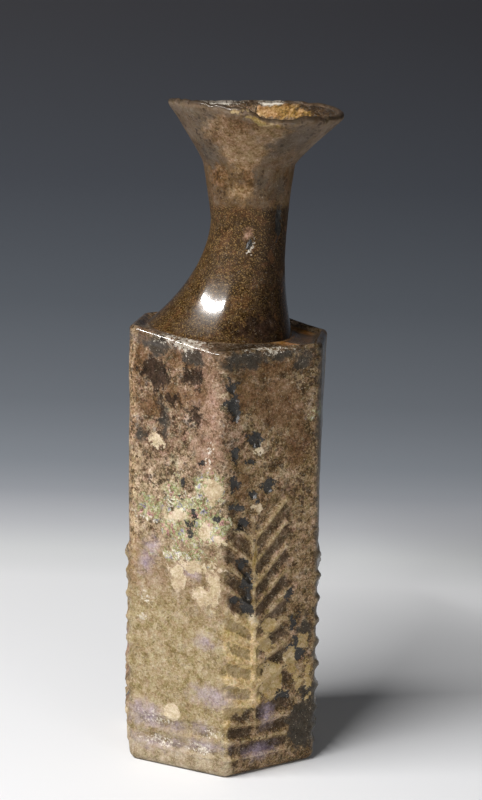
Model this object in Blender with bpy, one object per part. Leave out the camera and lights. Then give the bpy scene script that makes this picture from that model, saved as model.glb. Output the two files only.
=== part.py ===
"""Hexagonal mould-blown glass bottle with a trumpet neck and a funnel mouth.

Metres, +Z up. The flat underside rests at z = 0 with its centre at the origin, and the near edge of the body
faces -Y. The bottle is one piece of glass: a six-sided body with low relief on its panels, a raised rim round
a slightly sunken shoulder, and a neck that leans out of the centre, as hand-finished glass does.
"""

import math

import bmesh
import bpy

SIDES = 6
SIDE_ANGLE = math.tau / SIDES
HALF_SIDE_ANGLE = SIDE_ANGLE / 2

# Body: centre to corner, heights and wall
FOOT_RADIUS = 0.0355
TOP_RADIUS = 0.0361
BODY_HEIGHT = 0.1425
FOOT_TURN = math.radians(4.2)
TOP_TURN = math.radians(-4.5)
FOOT_CORNER_ROUND = 0.0032
TOP_CORNER_ROUND = 0.0046
FOOT_ROUND = 0.0028
WALL = 0.0024
FLOOR_THICKNESS = 0.0042
INNER_FOOT_ROUND = 0.0050
LEAST_CORNER_ROUND = 0.0006

# Rim round the shoulder: how far each corner stands off the body height, from the near corner anticlockwise
RIM_RISES = (-0.0002, 0.0005, -0.0014, 0.0030, 0.0014, 0.0037)
RIM_BLEND = 0.022
RIM_BEAD = 0.0015
SHOULDER_DROP = 0.0013
SHOULDER_INSET = 0.0036
SHOULDER_WALL = 0.0023

# Neck: lengths from the root up, outer radii, and how far each section's centre stands to the right
ROOT_RISE = 0.0008
FLARE_LENGTH = 0.0357
COLLAR_LENGTH = 0.0186
FUNNEL_LENGTH = 0.0177
ROOT_RADIUS = 0.0237
THROAT_RADIUS = 0.0124
KNEE_RADIUS = 0.0149
LIP_RADIUS = 0.0289
ROOT_SHIFT = -0.0033
THROAT_SHIFT = 0.0051
KNEE_SHIFT = 0.0046
LIP_SHIFT = 0.0064
FLARE_POWER = 2.05
SHIFT_POWER = 1.6
COLLAR_POWER = 1.25
FUNNEL_POWER = 1.12
ROOT_SLOPE = -0.060
NECK_WALL = 0.0021
ROOT_WALL = 0.0029
LIP_WALL = 0.0024

# Mouth: the lip falls to the right and to the back, and is warped like a saddle, with one chip at the front
LIP_FALL_RIGHT = 0.00135
LIP_FALL_BACK = 0.0009
LIP_WARP = 0.0011
CHIP_ANGLE = math.radians(-84)
CHIP_HALF_WIDTH = math.radians(13)
CHIP_DEPTH = 0.0020

# Relief on the panels, at levels up the body
RELIEF_RIDGE = 0.00060
RELIEF_HOLLOW = 0.00055
SIDE_RELIEF_RISE = 0.00050
STEP_RELIEF_SHARE = 0.6
FRAME_RIDGE = 0.00040
MOTIF_FOOT = 0.0062
STEP_PITCH = 0.0060
STEP_COUNT = 2
LEAF_PITCH = 0.0077
PLAIN_TOP = 0.0400
LEAN_START = 0.0110
LEAN_FULL = 0.0700
LEFT_LEAF_RISE = 0.0080
RIGHT_LEAF_RISE = 0.0130
SIDE_LEAF_RISE = 0.0085
TREE_SHIFT = -0.0062
TREE_REACH = 0.0115
TRUNK_WIDTH = 0.0030
POST_WIDTH = 0.0026
POST_LEFT = -0.0096
POST_RIGHT = 0.0050
LEAF_FADE = 0.0030
SIDE_LEAVES_TOP = 0.0720
TREE_TOP_FADE = 0.0120

# How finely the form is divided, and the angle past which an edge stays sharp
ROWS_A_LEAF = 3
NECK_COLUMNS = 36
INNER_NECK_COLUMNS = 24
FLARE_ROWS = 8
COLLAR_ROWS = 3
FUNNEL_ROWS = 4
ROUND_STEPS = 3
PLAIN_ROWS = 4
INNER_BODY_ROWS = 6
SLOPE_STEP = 0.0004
SHARP_ANGLE = math.radians(35)

GLASS_COLOUR = (0.20, 0.145, 0.085, 1.0)
GLASS_ROUGHNESS = 0.42

NEAR_CORNER_ANGLE = -math.pi / 2


def mix(start, end, share):
    return start + (end - start) * share


def clamp(value, low=0.0, high=1.0):
    return max(low, min(high, value))


def ease(share):
    share = clamp(share)
    return share * share * (3 - 2 * share)


def bump(distance, half_width):
    """One at the middle of a ridge, nothing at its sides."""
    return clamp(1 - abs(distance) / half_width)


# Plan of the body: where a column stands in a rounded hexagon.
# A column is a panel number and its share of the panel's flat, from -1 to 1, or None for the corner's middle.


def corner_direction(corner, turn):
    angle = NEAR_CORNER_ANGLE + corner * SIDE_ANGLE + turn
    return math.cos(angle), math.sin(angle)


def half_flat(radius, rounding):
    """Half the flat part of a side, between its two rounded corners."""
    return radius * math.sin(HALF_SIDE_ANGLE) - rounding * math.tan(HALF_SIDE_ANGLE)


def plan_point(column, radius, rounding, turn):
    """The place of a column in plan, and the way out of the wall there."""
    panel, share = column
    if share is None:
        way_x, way_y = corner_direction(panel, turn)
        reach = radius - rounding * (1 / math.cos(HALF_SIDE_ANGLE) - 1)
        return reach * way_x, reach * way_y, way_x, way_y
    out_x, out_y = corner_direction(panel + 0.5, turn)
    along = share * half_flat(radius, rounding)
    middle = radius * math.cos(HALF_SIDE_ANGLE)
    return middle * out_x - along * out_y, middle * out_y + along * out_x, out_x, out_y


def body_plan(level):
    """Corner radius, corner rounding and turn of the body at a level."""
    share = clamp(level / BODY_HEIGHT)
    radius = mix(FOOT_RADIUS, TOP_RADIUS, share)
    rounding = mix(FOOT_CORNER_ROUND, TOP_CORNER_ROUND, share)
    return radius, rounding, mix(FOOT_TURN, TOP_TURN, share)


def inset_point(column, level, inset):
    """The place of a column on the body's plan, moved in by an even inset."""
    radius, rounding, turn = body_plan(level)
    smaller = radius - inset / math.cos(HALF_SIDE_ANGLE)
    tighter = max(rounding - inset, LEAST_CORNER_ROUND)
    return plan_point(column, smaller, tighter, turn)


def rim_rise(column):
    """How far the rim stands off the body height at a column."""
    panel, share = column
    here = RIM_RISES[panel % SIDES]
    if share is None:
        return here
    return mix(here, RIM_RISES[(panel + 1) % SIDES], (share + 1) / 2)


def level_height(column, level):
    """The level's real height: near the top it follows the uneven rim."""
    blend = ease(1 - (BODY_HEIGHT - level) / RIM_BLEND)
    return level + rim_rise(column) * blend


# Relief: the tree on the right front panel, posts and steps on the left front one, leaves at the sides


def half_at(level):
    """Half the flat of each panel at a level."""
    radius, rounding, _ = body_plan(level)
    return half_flat(radius, rounding)


def leaf_zone():
    """The lowest and highest level with leaves."""
    low = MOTIF_FOOT + STEP_COUNT * STEP_PITCH
    count = max(1, int((BODY_HEIGHT - PLAIN_TOP - low) / LEAF_PITCH))
    return low, low + count * LEAF_PITCH, count


def lean_share(level):
    """How far the rows lean into leaves: not at the foot, fully in the middle, not at the rim."""
    _, high, _ = leaf_zone()
    growing = clamp((level - LEAN_START) / (LEAN_FULL - LEAN_START))
    fading = clamp((BODY_HEIGHT - level) / (BODY_HEIGHT - high))
    return growing * ease(fading)


def tree_drop(along, level):
    """How far a row sinks from the corner to the tree's trunk, and climbs again to its right leaf tips."""
    half = half_at(level)
    if along < TREE_SHIFT:
        return LEFT_LEAF_RISE * (1 - (TREE_SHIFT - along) / (TREE_SHIFT + half))
    if along < TREE_SHIFT + TREE_REACH:
        return LEFT_LEAF_RISE - RIGHT_LEAF_RISE * (along - TREE_SHIFT) / TREE_REACH
    rest = (half - along) / (half - TREE_SHIFT - TREE_REACH)
    return (LEFT_LEAF_RISE - RIGHT_LEAF_RISE) * rest


def side_drop(along, level):
    """How far a row sinks from both corners to the trunk in the middle."""
    return SIDE_LEAF_RISE * (1 - abs(along) / half_at(level))


def leaf_wave(level):
    """From 1 on a leaf's thin ridge to -1 in the hollow between two leaves."""
    low, high, _ = leaf_zone()
    if level < MOTIF_FOOT or level > high + LEAF_PITCH / 2:
        return 0.0
    pitch = LEAF_PITCH if level > low else STEP_PITCH
    phase = ((level - low) / pitch) % 1
    nearest = min(phase, 1 - phase)
    return 1 - 2 * ease(nearest * ROWS_A_LEAF)


def wave_depth(wave):
    return wave * (RELIEF_RIDGE if wave > 0 else RELIEF_HOLLOW)


def tree_relief(along, level):
    """Leaves from the near corner to their tips, crossed by the trunk, fading out at the top."""
    low, high, _ = leaf_zone()
    trunk = bump(along - TREE_SHIFT, TRUNK_WIDTH / 2) * clamp((level - low) / STEP_PITCH + 1)
    if level > high:
        trunk = 0.0
    reach = ease((TREE_SHIFT + TREE_REACH + LEAF_FADE - along) / LEAF_FADE)
    fading = ease((high + LEAF_FADE - level) / TREE_TOP_FADE)
    return mix(wave_depth(leaf_wave(level)) * reach, RELIEF_RIDGE, trunk) * fading


def side_relief(along, level):
    """Slightly proud leaves over the whole panel, crossed by a trunk in the middle."""
    low, high, _ = leaf_zone()
    trunk = bump(along, TRUNK_WIDTH / 2) if low <= level <= high else 0.0
    proud = SIDE_RELIEF_RISE * ease((level - MOTIF_FOOT) / LEAF_PITCH)
    fading = ease((SIDE_LEAVES_TOP - level) / LEAF_PITCH + 1)
    return (mix(wave_depth(leaf_wave(level)), RELIEF_RIDGE, trunk) + proud) * fading


def steps_and_posts(along, level, posts):
    """Two low steps at the foot and upright posts above them."""
    low, high, _ = leaf_zone()
    if level <= low:
        inside = ease((half_at(level) - abs(along)) / LEAF_FADE)
        return wave_depth(leaf_wave(level)) * inside * STEP_RELIEF_SHARE
    if level > high:
        return 0.0
    return FRAME_RIDGE * max(bump(along - post, POST_WIDTH / 2) for post in posts)


def niche_relief(along, level):
    return steps_and_posts(along, level, (POST_LEFT, POST_RIGHT))


def single_post_relief(along, level):
    return steps_and_posts(along, level, (0.0,))


# Panels from the near corner anticlockwise: right front, right, two at the back, left, left front.
# Each has the drop of its leaning rows, or None where they stay level, and its relief.
PANELS = (
    (tree_drop, tree_relief),
    (side_drop, side_relief),
    (None, single_post_relief),
    (side_drop, side_relief),
    (side_drop, side_relief),
    (None, niche_relief),
)


def corner_relief(corner, level):
    """The mean of the two panels that meet at a corner."""
    half = half_at(level)
    before = PANELS[(corner - 1) % SIDES][1](half, level)
    after = PANELS[corner % SIDES][1](-half, level)
    return (before + after) / 2


def wall_point(column, level):
    """A point of the outer wall, with its panel's relief."""
    panel, share = column
    x, y, out_x, out_y = inset_point(column, level, 0.0)
    height = level_height(column, level)
    if share is None:
        raised = corner_relief(panel, level)
    else:
        along = share * half_at(level)
        drop, relief = PANELS[panel]
        raised = relief(along, level)
        if drop:
            height -= drop(along, level) * lean_share(level)
    return x + raised * out_x, y + raised * out_y, height


def panel_shares(panel):
    """Columns over one flat: where its motif needs them, as shares of the half flat."""
    half = half_at(BODY_HEIGHT / 2)
    edge = TRUNK_WIDTH / 2 / half
    if panel == 0:
        trunk = TREE_SHIFT / half
        tips = (TREE_SHIFT + TREE_REACH) / half
        fade = (TREE_SHIFT + TREE_REACH + LEAF_FADE) / half
        between = mix(trunk + edge, tips, 0.5)
        return (-1, mix(-1, trunk - edge, 0.5), trunk - edge, trunk, trunk + edge, between, tips, fade, 1)
    if panel == SIDES - 1:
        left = POST_LEFT / half
        right = POST_RIGHT / half
        side = POST_WIDTH / 2 / half
        between = mix(left, right, 0.5)
        return (-1, left - side, left, left + side, between, right - side, right, right + side, 1)
    return (-1, mix(-1, -edge, 0.5), -edge, 0, edge, mix(1, edge, 0.5), 1)


def outer_columns():
    columns = []
    for panel in range(SIDES):
        columns.append((panel, None))
        columns += [(panel, share) for share in panel_shares(panel)]
    return columns


def inner_columns():
    """The plain inside needs only the corners and the middle of each panel."""
    columns = []
    for panel in range(SIDES):
        columns.append((panel, None))
        columns += [(panel, share) for share in (-1, 0, 1)]
    return columns


def repeat_levels(start, pitch, count):
    """Levels of rows that divide each of a run of steps or leaves."""
    rows = count * ROWS_A_LEAF
    return [start + pitch * row / ROWS_A_LEAF for row in range(rows)]


def wall_levels():
    """Levels of the outer wall's rows above the rounded foot."""
    low, high, count = leaf_zone()
    levels = [FOOT_ROUND]
    levels += repeat_levels(MOTIF_FOOT, STEP_PITCH, STEP_COUNT)
    levels += repeat_levels(low, LEAF_PITCH, count)
    levels.append(high)
    first = high + LEAF_PITCH / ROWS_A_LEAF
    top = BODY_HEIGHT - RIM_BEAD
    levels += [mix(first, top, row / PLAIN_ROWS) for row in range(PLAIN_ROWS + 1)]
    return levels


# Neck: sections from the root to the lip


def neck_heights():
    """Heights of the root, throat, knee and lip."""
    root = BODY_HEIGHT + ROOT_RISE
    throat = root + FLARE_LENGTH
    knee = throat + COLLAR_LENGTH
    return root, throat, knee, knee + FUNNEL_LENGTH


def neck_section(height):
    """Radius and sideways shift of the neck's outer wall at a height."""
    _, throat, knee, _ = neck_heights()
    if height < throat:
        share = (throat - height) / FLARE_LENGTH
        radius = mix(THROAT_RADIUS, ROOT_RADIUS, share**FLARE_POWER)
        return radius, mix(THROAT_SHIFT, ROOT_SHIFT, share**SHIFT_POWER)
    if height < knee:
        share = (height - throat) / COLLAR_LENGTH
        return mix(THROAT_RADIUS, KNEE_RADIUS, share**COLLAR_POWER), mix(THROAT_SHIFT, KNEE_SHIFT, share)
    share = (height - knee) / FUNNEL_LENGTH
    return mix(KNEE_RADIUS, LIP_RADIUS, share**FUNNEL_POWER), mix(KNEE_SHIFT, LIP_SHIFT, share)


def neck_slope(height):
    """How fast the radius grows with height."""
    root, _, _, lip = neck_heights()
    below = max(root, height - SLOPE_STEP)
    above = min(lip, height + SLOPE_STEP)
    return (neck_section(above)[0] - neck_section(below)[0]) / (above - below)


def lip_wave(angle):
    """How far the lip stands off its middle height at an angle seen from above."""
    tilt = -LIP_FALL_RIGHT * math.cos(angle) - LIP_FALL_BACK * math.sin(angle)
    chip = CHIP_DEPTH * bump(angle - CHIP_ANGLE, CHIP_HALF_WIDTH)
    return tilt + LIP_WARP * math.sin(2 * angle) - chip


def neck_lift(height, angle, across):
    """The slanting root and the uneven lip, both fading towards the throat."""
    _, throat, knee, _ = neck_heights()
    lower = clamp((throat - height) / FLARE_LENGTH) ** 2
    upper = clamp((height - knee) / FUNNEL_LENGTH)
    return ROOT_SLOPE * across * lower + lip_wave(angle) * upper


def neck_ring(height, columns, depth=0.0):
    """A ring of the neck, moved into the glass by a depth along the wall's own slope."""
    radius, shift = neck_section(height)
    slope = neck_slope(height)
    lean = math.hypot(1, slope)
    inner = radius - depth / lean
    sunk = depth * slope / lean
    points = []
    for column in range(columns):
        angle = ring_angle(column, columns)
        across = inner * math.cos(angle)
        lift = neck_lift(height, angle, across)
        points.append((shift + across, inner * math.sin(angle), height + sunk + lift))
    return points


def ring_angle(column, columns):
    """Angle of a column, starting at the near side, between -90 and 270 degrees."""
    return wrapped(NEAR_CORNER_ANGLE + math.tau * column / columns)


def wrapped(angle):
    """The same direction between -180 and 180 degrees."""
    return (angle + math.pi) % math.tau - math.pi


def neck_rows():
    """Heights of the neck's rows, from the root to just under the lip's crest."""
    root, throat, knee, lip = neck_heights()
    rows = [mix(root, throat, row / FLARE_ROWS) for row in range(FLARE_ROWS)]
    rows += [mix(throat, knee, row / COLLAR_ROWS) for row in range(COLLAR_ROWS)]
    rows += [mix(knee, lip - LIP_WALL / 2, row / FUNNEL_ROWS) for row in range(FUNNEL_ROWS + 1)]
    return rows


# Mesh building


def add_ring(mesh, points):
    return [mesh.verts.new(point) for point in points]


def join_rings(mesh, lower, upper):
    """Quads between two rings with as many points each, faces out for rings that run up the outside."""
    count = len(lower)
    for index in range(count):
        after = (index + 1) % count
        mesh.faces.new((lower[index], lower[after], upper[after], upper[index]))


def direction_of(vertex, centre):
    return (math.atan2(vertex.co.y - centre[1], vertex.co.x - centre[0]) - NEAR_CORNER_ANGLE) % math.tau


def centre_of(ring):
    return sum(v.co.x for v in ring) / len(ring), sum(v.co.y for v in ring) / len(ring)


def turned_to_start(ring):
    """The ring's points in order from the near side, with the direction of each."""
    centre = centre_of(ring)
    directions = [direction_of(vertex, centre) for vertex in ring]
    start = directions.index(min(directions))
    order = [(start + step) % len(ring) for step in range(len(ring))]
    return [ring[index] for index in order], [directions[index] for index in order]


def stitch_rings(mesh, lower, upper):
    """Triangles between two rings with different numbers of points."""
    low, low_ways = turned_to_start(lower)
    high, high_ways = turned_to_start(upper)
    low_ways.append(low_ways[0] + math.tau)
    high_ways.append(high_ways[0] + math.tau)
    done_low = 0
    done_high = 0
    while done_low < len(low) or done_high < len(high):
        here_low = low[done_low % len(low)]
        here_high = high[done_high % len(high)]
        low_left = done_low < len(low)
        high_left = done_high < len(high)
        if low_left and (not high_left or low_ways[done_low + 1] <= high_ways[done_high + 1]):
            done_low += 1
            mesh.faces.new((here_low, low[done_low % len(low)], here_high))
        else:
            done_high += 1
            mesh.faces.new((here_low, high[done_high % len(high)], here_high))


def inset_ring(mesh, columns, level, inset, fall):
    """A ring of the body's plan moved in by an inset, a fall below the rim or above the foot."""
    points = []
    for column in columns:
        x, y, _, _ = inset_point(column, level, inset)
        points.append((x, y, level_height(column, level) - fall))
    return add_ring(mesh, points)


def outer_body_rings(mesh):
    """From the flat underside over the rounded foot, up the panels and over the rim to the shoulder."""
    columns = outer_columns()
    rings = []
    for step in range(ROUND_STEPS):
        angle = math.pi / 2 * step / ROUND_STEPS
        level = FOOT_ROUND * (1 - math.cos(angle))
        rings.append(inset_ring(mesh, columns, level, FOOT_ROUND * (1 - math.sin(angle)), 0.0))
    for level in wall_levels():
        rings.append(add_ring(mesh, [wall_point(column, level) for column in columns]))
    for step in range(1, ROUND_STEPS):
        angle = math.pi / 2 * step / (ROUND_STEPS - 1)
        inset = RIM_BEAD * (1 - math.cos(angle))
        rings.append(inset_ring(mesh, columns, BODY_HEIGHT, inset, RIM_BEAD * (1 - math.sin(angle))))
    halfway = (RIM_BEAD + SHOULDER_INSET) / 2
    rings.append(inset_ring(mesh, columns, BODY_HEIGHT, halfway, SHOULDER_DROP / 2))
    rings.append(inset_ring(mesh, columns, BODY_HEIGHT, SHOULDER_INSET, SHOULDER_DROP))
    return rings


def outer_neck_rings(mesh):
    return [add_ring(mesh, neck_ring(height, NECK_COLUMNS)) for height in neck_rows()]


def lip_rings(mesh):
    """The rounded crest of the lip, halfway through its wall."""
    lip = neck_heights()[3]
    crest = neck_ring(lip, NECK_COLUMNS, LIP_WALL / 2)
    inner = neck_ring(lip - LIP_WALL / 2, NECK_COLUMNS, LIP_WALL)
    return [add_ring(mesh, crest), add_ring(mesh, inner)]


def inner_neck_rings(mesh):
    """From under the lip down the bore to the root, where the glass is thicker."""
    rows = neck_rows()[1:-1]
    rows.reverse()
    rings = [add_ring(mesh, neck_ring(height, INNER_NECK_COLUMNS, NECK_WALL)) for height in rows]
    rings.append(add_ring(mesh, neck_ring(neck_heights()[0], INNER_NECK_COLUMNS, ROOT_WALL)))
    return rings


def inner_body_rings(mesh):
    """From the underside of the shoulder down the walls to the inner floor."""
    columns = inner_columns()
    under = SHOULDER_DROP + SHOULDER_WALL
    rings = [
        inset_ring(mesh, columns, BODY_HEIGHT, SHOULDER_INSET, under),
        inset_ring(mesh, columns, BODY_HEIGHT, WALL, under + SHOULDER_WALL),
    ]
    top = BODY_HEIGHT - under - SHOULDER_WALL
    bottom = FLOOR_THICKNESS + INNER_FOOT_ROUND
    for row in range(1, INNER_BODY_ROWS + 1):
        level = mix(top, bottom, row / INNER_BODY_ROWS)
        rings.append(inset_ring(mesh, columns, level, WALL, 0.0))
    for step in range(1, ROUND_STEPS):
        angle = math.pi / 2 * step / (ROUND_STEPS - 1)
        level = bottom - INNER_FOOT_ROUND * math.sin(angle)
        inset = WALL + INNER_FOOT_ROUND * (1 - math.cos(angle))
        rings.append(inset_ring(mesh, columns, level, inset, 0.0))
    return rings


def build_bottle():
    mesh = bmesh.new()
    body = outer_body_rings(mesh)
    neck = outer_neck_rings(mesh) + lip_rings(mesh)
    bore = inner_neck_rings(mesh)
    inside = inner_body_rings(mesh)
    for run in (body, neck, bore, inside):
        for lower, upper in zip(run, run[1:]):
            join_rings(mesh, lower, upper)
    stitch_rings(mesh, body[-1], neck[0])
    stitch_rings(mesh, neck[-1], bore[0])
    stitch_rings(mesh, bore[-1], inside[0])
    mesh.faces.new(list(reversed(body[0])))
    mesh.faces.new(inside[-1])
    bmesh.ops.triangulate(mesh, faces=mesh.faces[:])
    return mesh


def glass_material():
    material = bpy.data.materials.new("weathered_glass")
    material.use_nodes = True
    shader = material.node_tree.nodes["Principled BSDF"]
    shader.inputs["Base Color"].default_value = GLASS_COLOUR
    shader.inputs["Roughness"].default_value = GLASS_ROUGHNESS
    shader.inputs["Metallic"].default_value = 0.0
    return material


def clear_scene():
    for thing in list(bpy.data.objects):
        bpy.data.objects.remove(thing, do_unlink=True)


def main():
    clear_scene()
    form = build_bottle()
    data = bpy.data.meshes.new("bottle")
    form.to_mesh(data)
    form.free()
    data.shade_smooth()
    data.set_sharp_from_angle(angle=SHARP_ANGLE)
    data.materials.append(glass_material())
    bpy.context.scene.collection.objects.link(bpy.data.objects.new("bottle", data))


main()
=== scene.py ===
# %% [markdown]
# # A hexagonal glass bottle, blown in a mould and long buried
# The bottle is one piece of glass: a six-sided body with a tree and a niche in low relief, a rim round a
# sunken shoulder, and a leaning neck with a funnel mouth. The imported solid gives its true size, and this
# script makes the fine surface that replaces it, with the weathering that centuries in the ground left.

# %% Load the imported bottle
import math

import bpy
import numpy as np
from mathutils import Matrix, Quaternion, Vector, noise


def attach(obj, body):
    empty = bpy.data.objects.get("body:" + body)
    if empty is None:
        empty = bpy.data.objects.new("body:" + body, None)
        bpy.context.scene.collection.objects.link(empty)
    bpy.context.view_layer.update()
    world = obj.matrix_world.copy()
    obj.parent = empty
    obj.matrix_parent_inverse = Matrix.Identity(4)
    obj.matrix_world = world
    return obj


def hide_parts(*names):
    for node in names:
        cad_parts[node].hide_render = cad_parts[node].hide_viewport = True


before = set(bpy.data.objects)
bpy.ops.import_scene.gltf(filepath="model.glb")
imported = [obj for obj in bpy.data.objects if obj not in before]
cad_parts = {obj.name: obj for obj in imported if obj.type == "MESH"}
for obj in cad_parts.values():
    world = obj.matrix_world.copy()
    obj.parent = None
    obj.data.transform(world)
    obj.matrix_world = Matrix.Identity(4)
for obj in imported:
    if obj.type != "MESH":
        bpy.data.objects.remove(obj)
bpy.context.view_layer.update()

MM = 0.001

# %% [markdown]
# ## The camera
# The photograph was taken from a little above, with a long lens and the picture turned by less than two
# degrees. The camera's place was found by matching the foot, the rim and the lip, so it is written here as
# measured: a distance, a height, a downward pitch and a roll.

# %% Camera
FRAME_HEIGHT = 800
CAMERA_DISTANCE = 0.72
CAMERA_HEIGHT = 0.28224
CAMERA_SIDE = 0.00425
CAMERA_PITCH = math.radians(12.76)
CAMERA_ROLL = math.radians(1.689)
FOCAL_PIXELS = 2235.9
SENSOR_HEIGHT = 24.0


def make_camera():
    data = bpy.data.cameras.new("camera")
    data.sensor_fit = "VERTICAL"
    data.sensor_height = SENSOR_HEIGHT
    data.lens = FOCAL_PIXELS / FRAME_HEIGHT * SENSOR_HEIGHT
    camera = bpy.data.objects.new("camera", data)
    bpy.context.scene.collection.objects.link(camera)
    ahead = Vector((0, math.cos(CAMERA_PITCH), -math.sin(CAMERA_PITCH)))
    right = Vector((1, 0, 0))
    up = right.cross(ahead)
    turned_right = right * math.cos(CAMERA_ROLL) + up * math.sin(CAMERA_ROLL)
    turned_up = up * math.cos(CAMERA_ROLL) - right * math.sin(CAMERA_ROLL)
    placed = Matrix((turned_right, turned_up, -ahead)).transposed().to_4x4()
    placed.translation = Vector((CAMERA_SIDE, -CAMERA_DISTANCE, CAMERA_HEIGHT))
    camera.matrix_world = placed
    bpy.context.scene.camera = camera


make_camera()

# %% [markdown]
# ## Shader helpers
# A material is a tree of nodes. These helpers add one node, or one common step, so that each finish below
# reads as a list of layers. What a node puts out is held as a Value, which can be added, subtracted and
# multiplied like a number. All patterns read Object coordinates, which are metres on the bottle.


# %% Node helpers
class Value:
    """What a node puts out. Each sum, difference or product with it adds a Math node to its tree."""

    def __init__(self, tree, socket):
        self.tree = tree
        self.socket = socket

    def __add__(self, other):
        return calculate("ADD", self, other)

    def __sub__(self, other):
        return calculate("SUBTRACT", self, other)

    def __rsub__(self, other):
        return calculate("SUBTRACT", other, self)

    def __mul__(self, other):
        return calculate("MULTIPLY", self, other)


def put(tree, socket, value):
    """Sets a socket to a plain value, or links it to what another node puts out."""
    if isinstance(value, Value):
        tree.links.new(value.socket, socket)
    else:
        socket.default_value = value


def add_node(tree, kind, inputs=(), **settings):
    node = tree.nodes.new(kind)
    for name, value in settings.items():
        setattr(node, name, value)
    for name, value in dict(inputs).items():
        put(tree, node.inputs[name], value)
    return node


def output(tree, kind, name, inputs=(), **settings):
    """Adds a node and gives the named thing that it puts out."""
    return Value(tree, add_node(tree, kind, inputs, **settings).outputs[name])


def calculate(operation, first, second):
    tree = first.tree if isinstance(first, Value) else second.tree
    return output(tree, "ShaderNodeMath", 0, {0: first, 1: second}, operation=operation)


def larger(first, second):
    return calculate("MAXIMUM", first, second)


def blend(factor, below, above):
    """A colour over another one, as strong as the factor."""
    return output(factor.tree, "ShaderNodeMix", 2, {0: factor, 6: below, 7: above}, data_type="RGBA")


def ramp(value, low, high):
    """Eases from 0 to 1 while the value goes from low to high."""
    inputs = {"Value": value, "From Min": low, "From Max": high}
    return output(value.tree, "ShaderNodeMapRange", "Result", inputs, interpolation_type="SMOOTHSTEP")


def colour_stops(value, stops):
    """A colour for each value, from a list of places and their colours."""
    node = add_node(value.tree, "ShaderNodeValToRGB", {"Fac": value})
    while len(node.color_ramp.elements) < len(stops):
        node.color_ramp.elements.new(0.5)
    for element, (place, colour) in zip(node.color_ramp.elements, stops):
        element.position = place
        element.color = colour
    return Value(value.tree, node.outputs["Color"])


def object_place(tree):
    return output(tree, "ShaderNodeTexCoord", "Object")


def object_noise(tree, scale, detail, roughness):
    inputs = {"Vector": object_place(tree), "Scale": scale, "Detail": detail, "Roughness": roughness}
    return output(tree, "ShaderNodeTexNoise", "Fac", inputs)


def new_material(name):
    material = bpy.data.materials.new(name)
    material.use_nodes = True
    return material, material.node_tree, material.node_tree.nodes["Principled BSDF"].inputs


# %% [markdown]
# ## Floor and light
# The bottle stands on a pale sweep, a floor that curves up behind. Its paper is graded from pale near the
# bottle to a dark blue-grey further back: this darkening is painted shade, for the light falling off behind.
# The light is one long, narrow soft strip high at the left, a little in front and turned by a few degrees:
# it makes the bright streak on the neck and the long soft shadow to the right. A weak card at the right
# fills the dark side.
# Both are area lights, and the longer such a lamp is, the softer its shadow is along that way.

# %% Floor
SWEEP_WIDTH = 6.0
SWEEP_FRONT = -1.4
SWEEP_BACK = 0.75
SWEEP_TOP = 2.2
SWEEP_ROUND = 0.55
SWEEP_SEGMENTS = 16
SWEEP_ROUGHNESS = 0.6
PAPER_WITH_PAINTED_SHADE = (
    # how far back, colour of the paper there, darker further back as painted shade
    (0.000, (0.800, 0.815, 0.840, 1)), (0.180, (0.840, 0.855, 0.875, 1)), (0.218, (0.735, 0.756, 0.770, 1)),
    (0.256, (0.542, 0.559, 0.592, 1)), (0.291, (0.345, 0.366, 0.404, 1)), (0.323, (0.248, 0.273, 0.308, 1)),
    (0.381, (0.161, 0.180, 0.207, 1)), (0.463, (0.097, 0.111, 0.131, 1)), (0.544, (0.056, 0.063, 0.078, 1)),
    (0.636, (0.030, 0.031, 0.038, 1)),
)


def deselect_all():
    bpy.ops.object.select_all(action="DESELECT")


def select_edges(piece, chosen):
    """Goes to edit mode with the edges selected whose two points fit the choice."""
    bpy.ops.object.mode_set(mode="EDIT")
    bpy.ops.mesh.select_mode(type="EDGE")
    bpy.ops.mesh.select_all(action="DESELECT")
    bpy.ops.object.mode_set(mode="OBJECT")
    for edge in piece.data.edges:
        edge.select = chosen(*[piece.data.vertices[i].co for i in edge.vertices])
    bpy.ops.object.mode_set(mode="EDIT")


def at_back(one, other):
    return min(one.y, other.y) > SWEEP_BACK - MM


def at_fold(one, other):
    return at_back(one, other) and max(one.z, other.z) < MM


def make_sweep():
    """A floor plane whose far edge is extruded upwards and the fold bevelled round."""
    deselect_all()
    bpy.ops.mesh.primitive_plane_add(size=1, location=(0, (SWEEP_FRONT + SWEEP_BACK) / 2, 0))
    sweep = bpy.context.active_object
    sweep.name = "sweep"
    sweep.scale = (SWEEP_WIDTH, SWEEP_BACK - SWEEP_FRONT, 1)
    bpy.ops.object.transform_apply(location=True, rotation=True, scale=True)
    select_edges(sweep, at_back)
    bpy.ops.mesh.extrude_region_move(TRANSFORM_OT_translate={"value": (0, 0, SWEEP_TOP)})
    select_edges(sweep, at_fold)
    bpy.ops.mesh.bevel(offset=SWEEP_ROUND, segments=SWEEP_SEGMENTS, affect="EDGES")
    bpy.ops.object.mode_set(mode="OBJECT")
    bpy.ops.object.shade_smooth()
    return sweep


def sweep_material():
    """Paper that is pale where the bottle stands and graded to a blue-grey behind it, as painted shade."""
    material, tree, shader = new_material("sweep_with_painted_shade")
    back = output(tree, "ShaderNodeSeparateXYZ", "Y", {"Vector": object_place(tree)})
    share = output(tree, "ShaderNodeMapRange", "Result", {"Value": back, "From Max": SWEEP_BACK})
    stops = [(far / SWEEP_BACK, colour) for far, colour in PAPER_WITH_PAINTED_SHADE]
    put(tree, shader["Base Color"], colour_stops(share, stops))
    shader["Roughness"].default_value = SWEEP_ROUGHNESS
    return material


sweep = make_sweep()
sweep.data.materials.append(sweep_material())
print("sweep faces", len(sweep.data.polygons))

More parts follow.
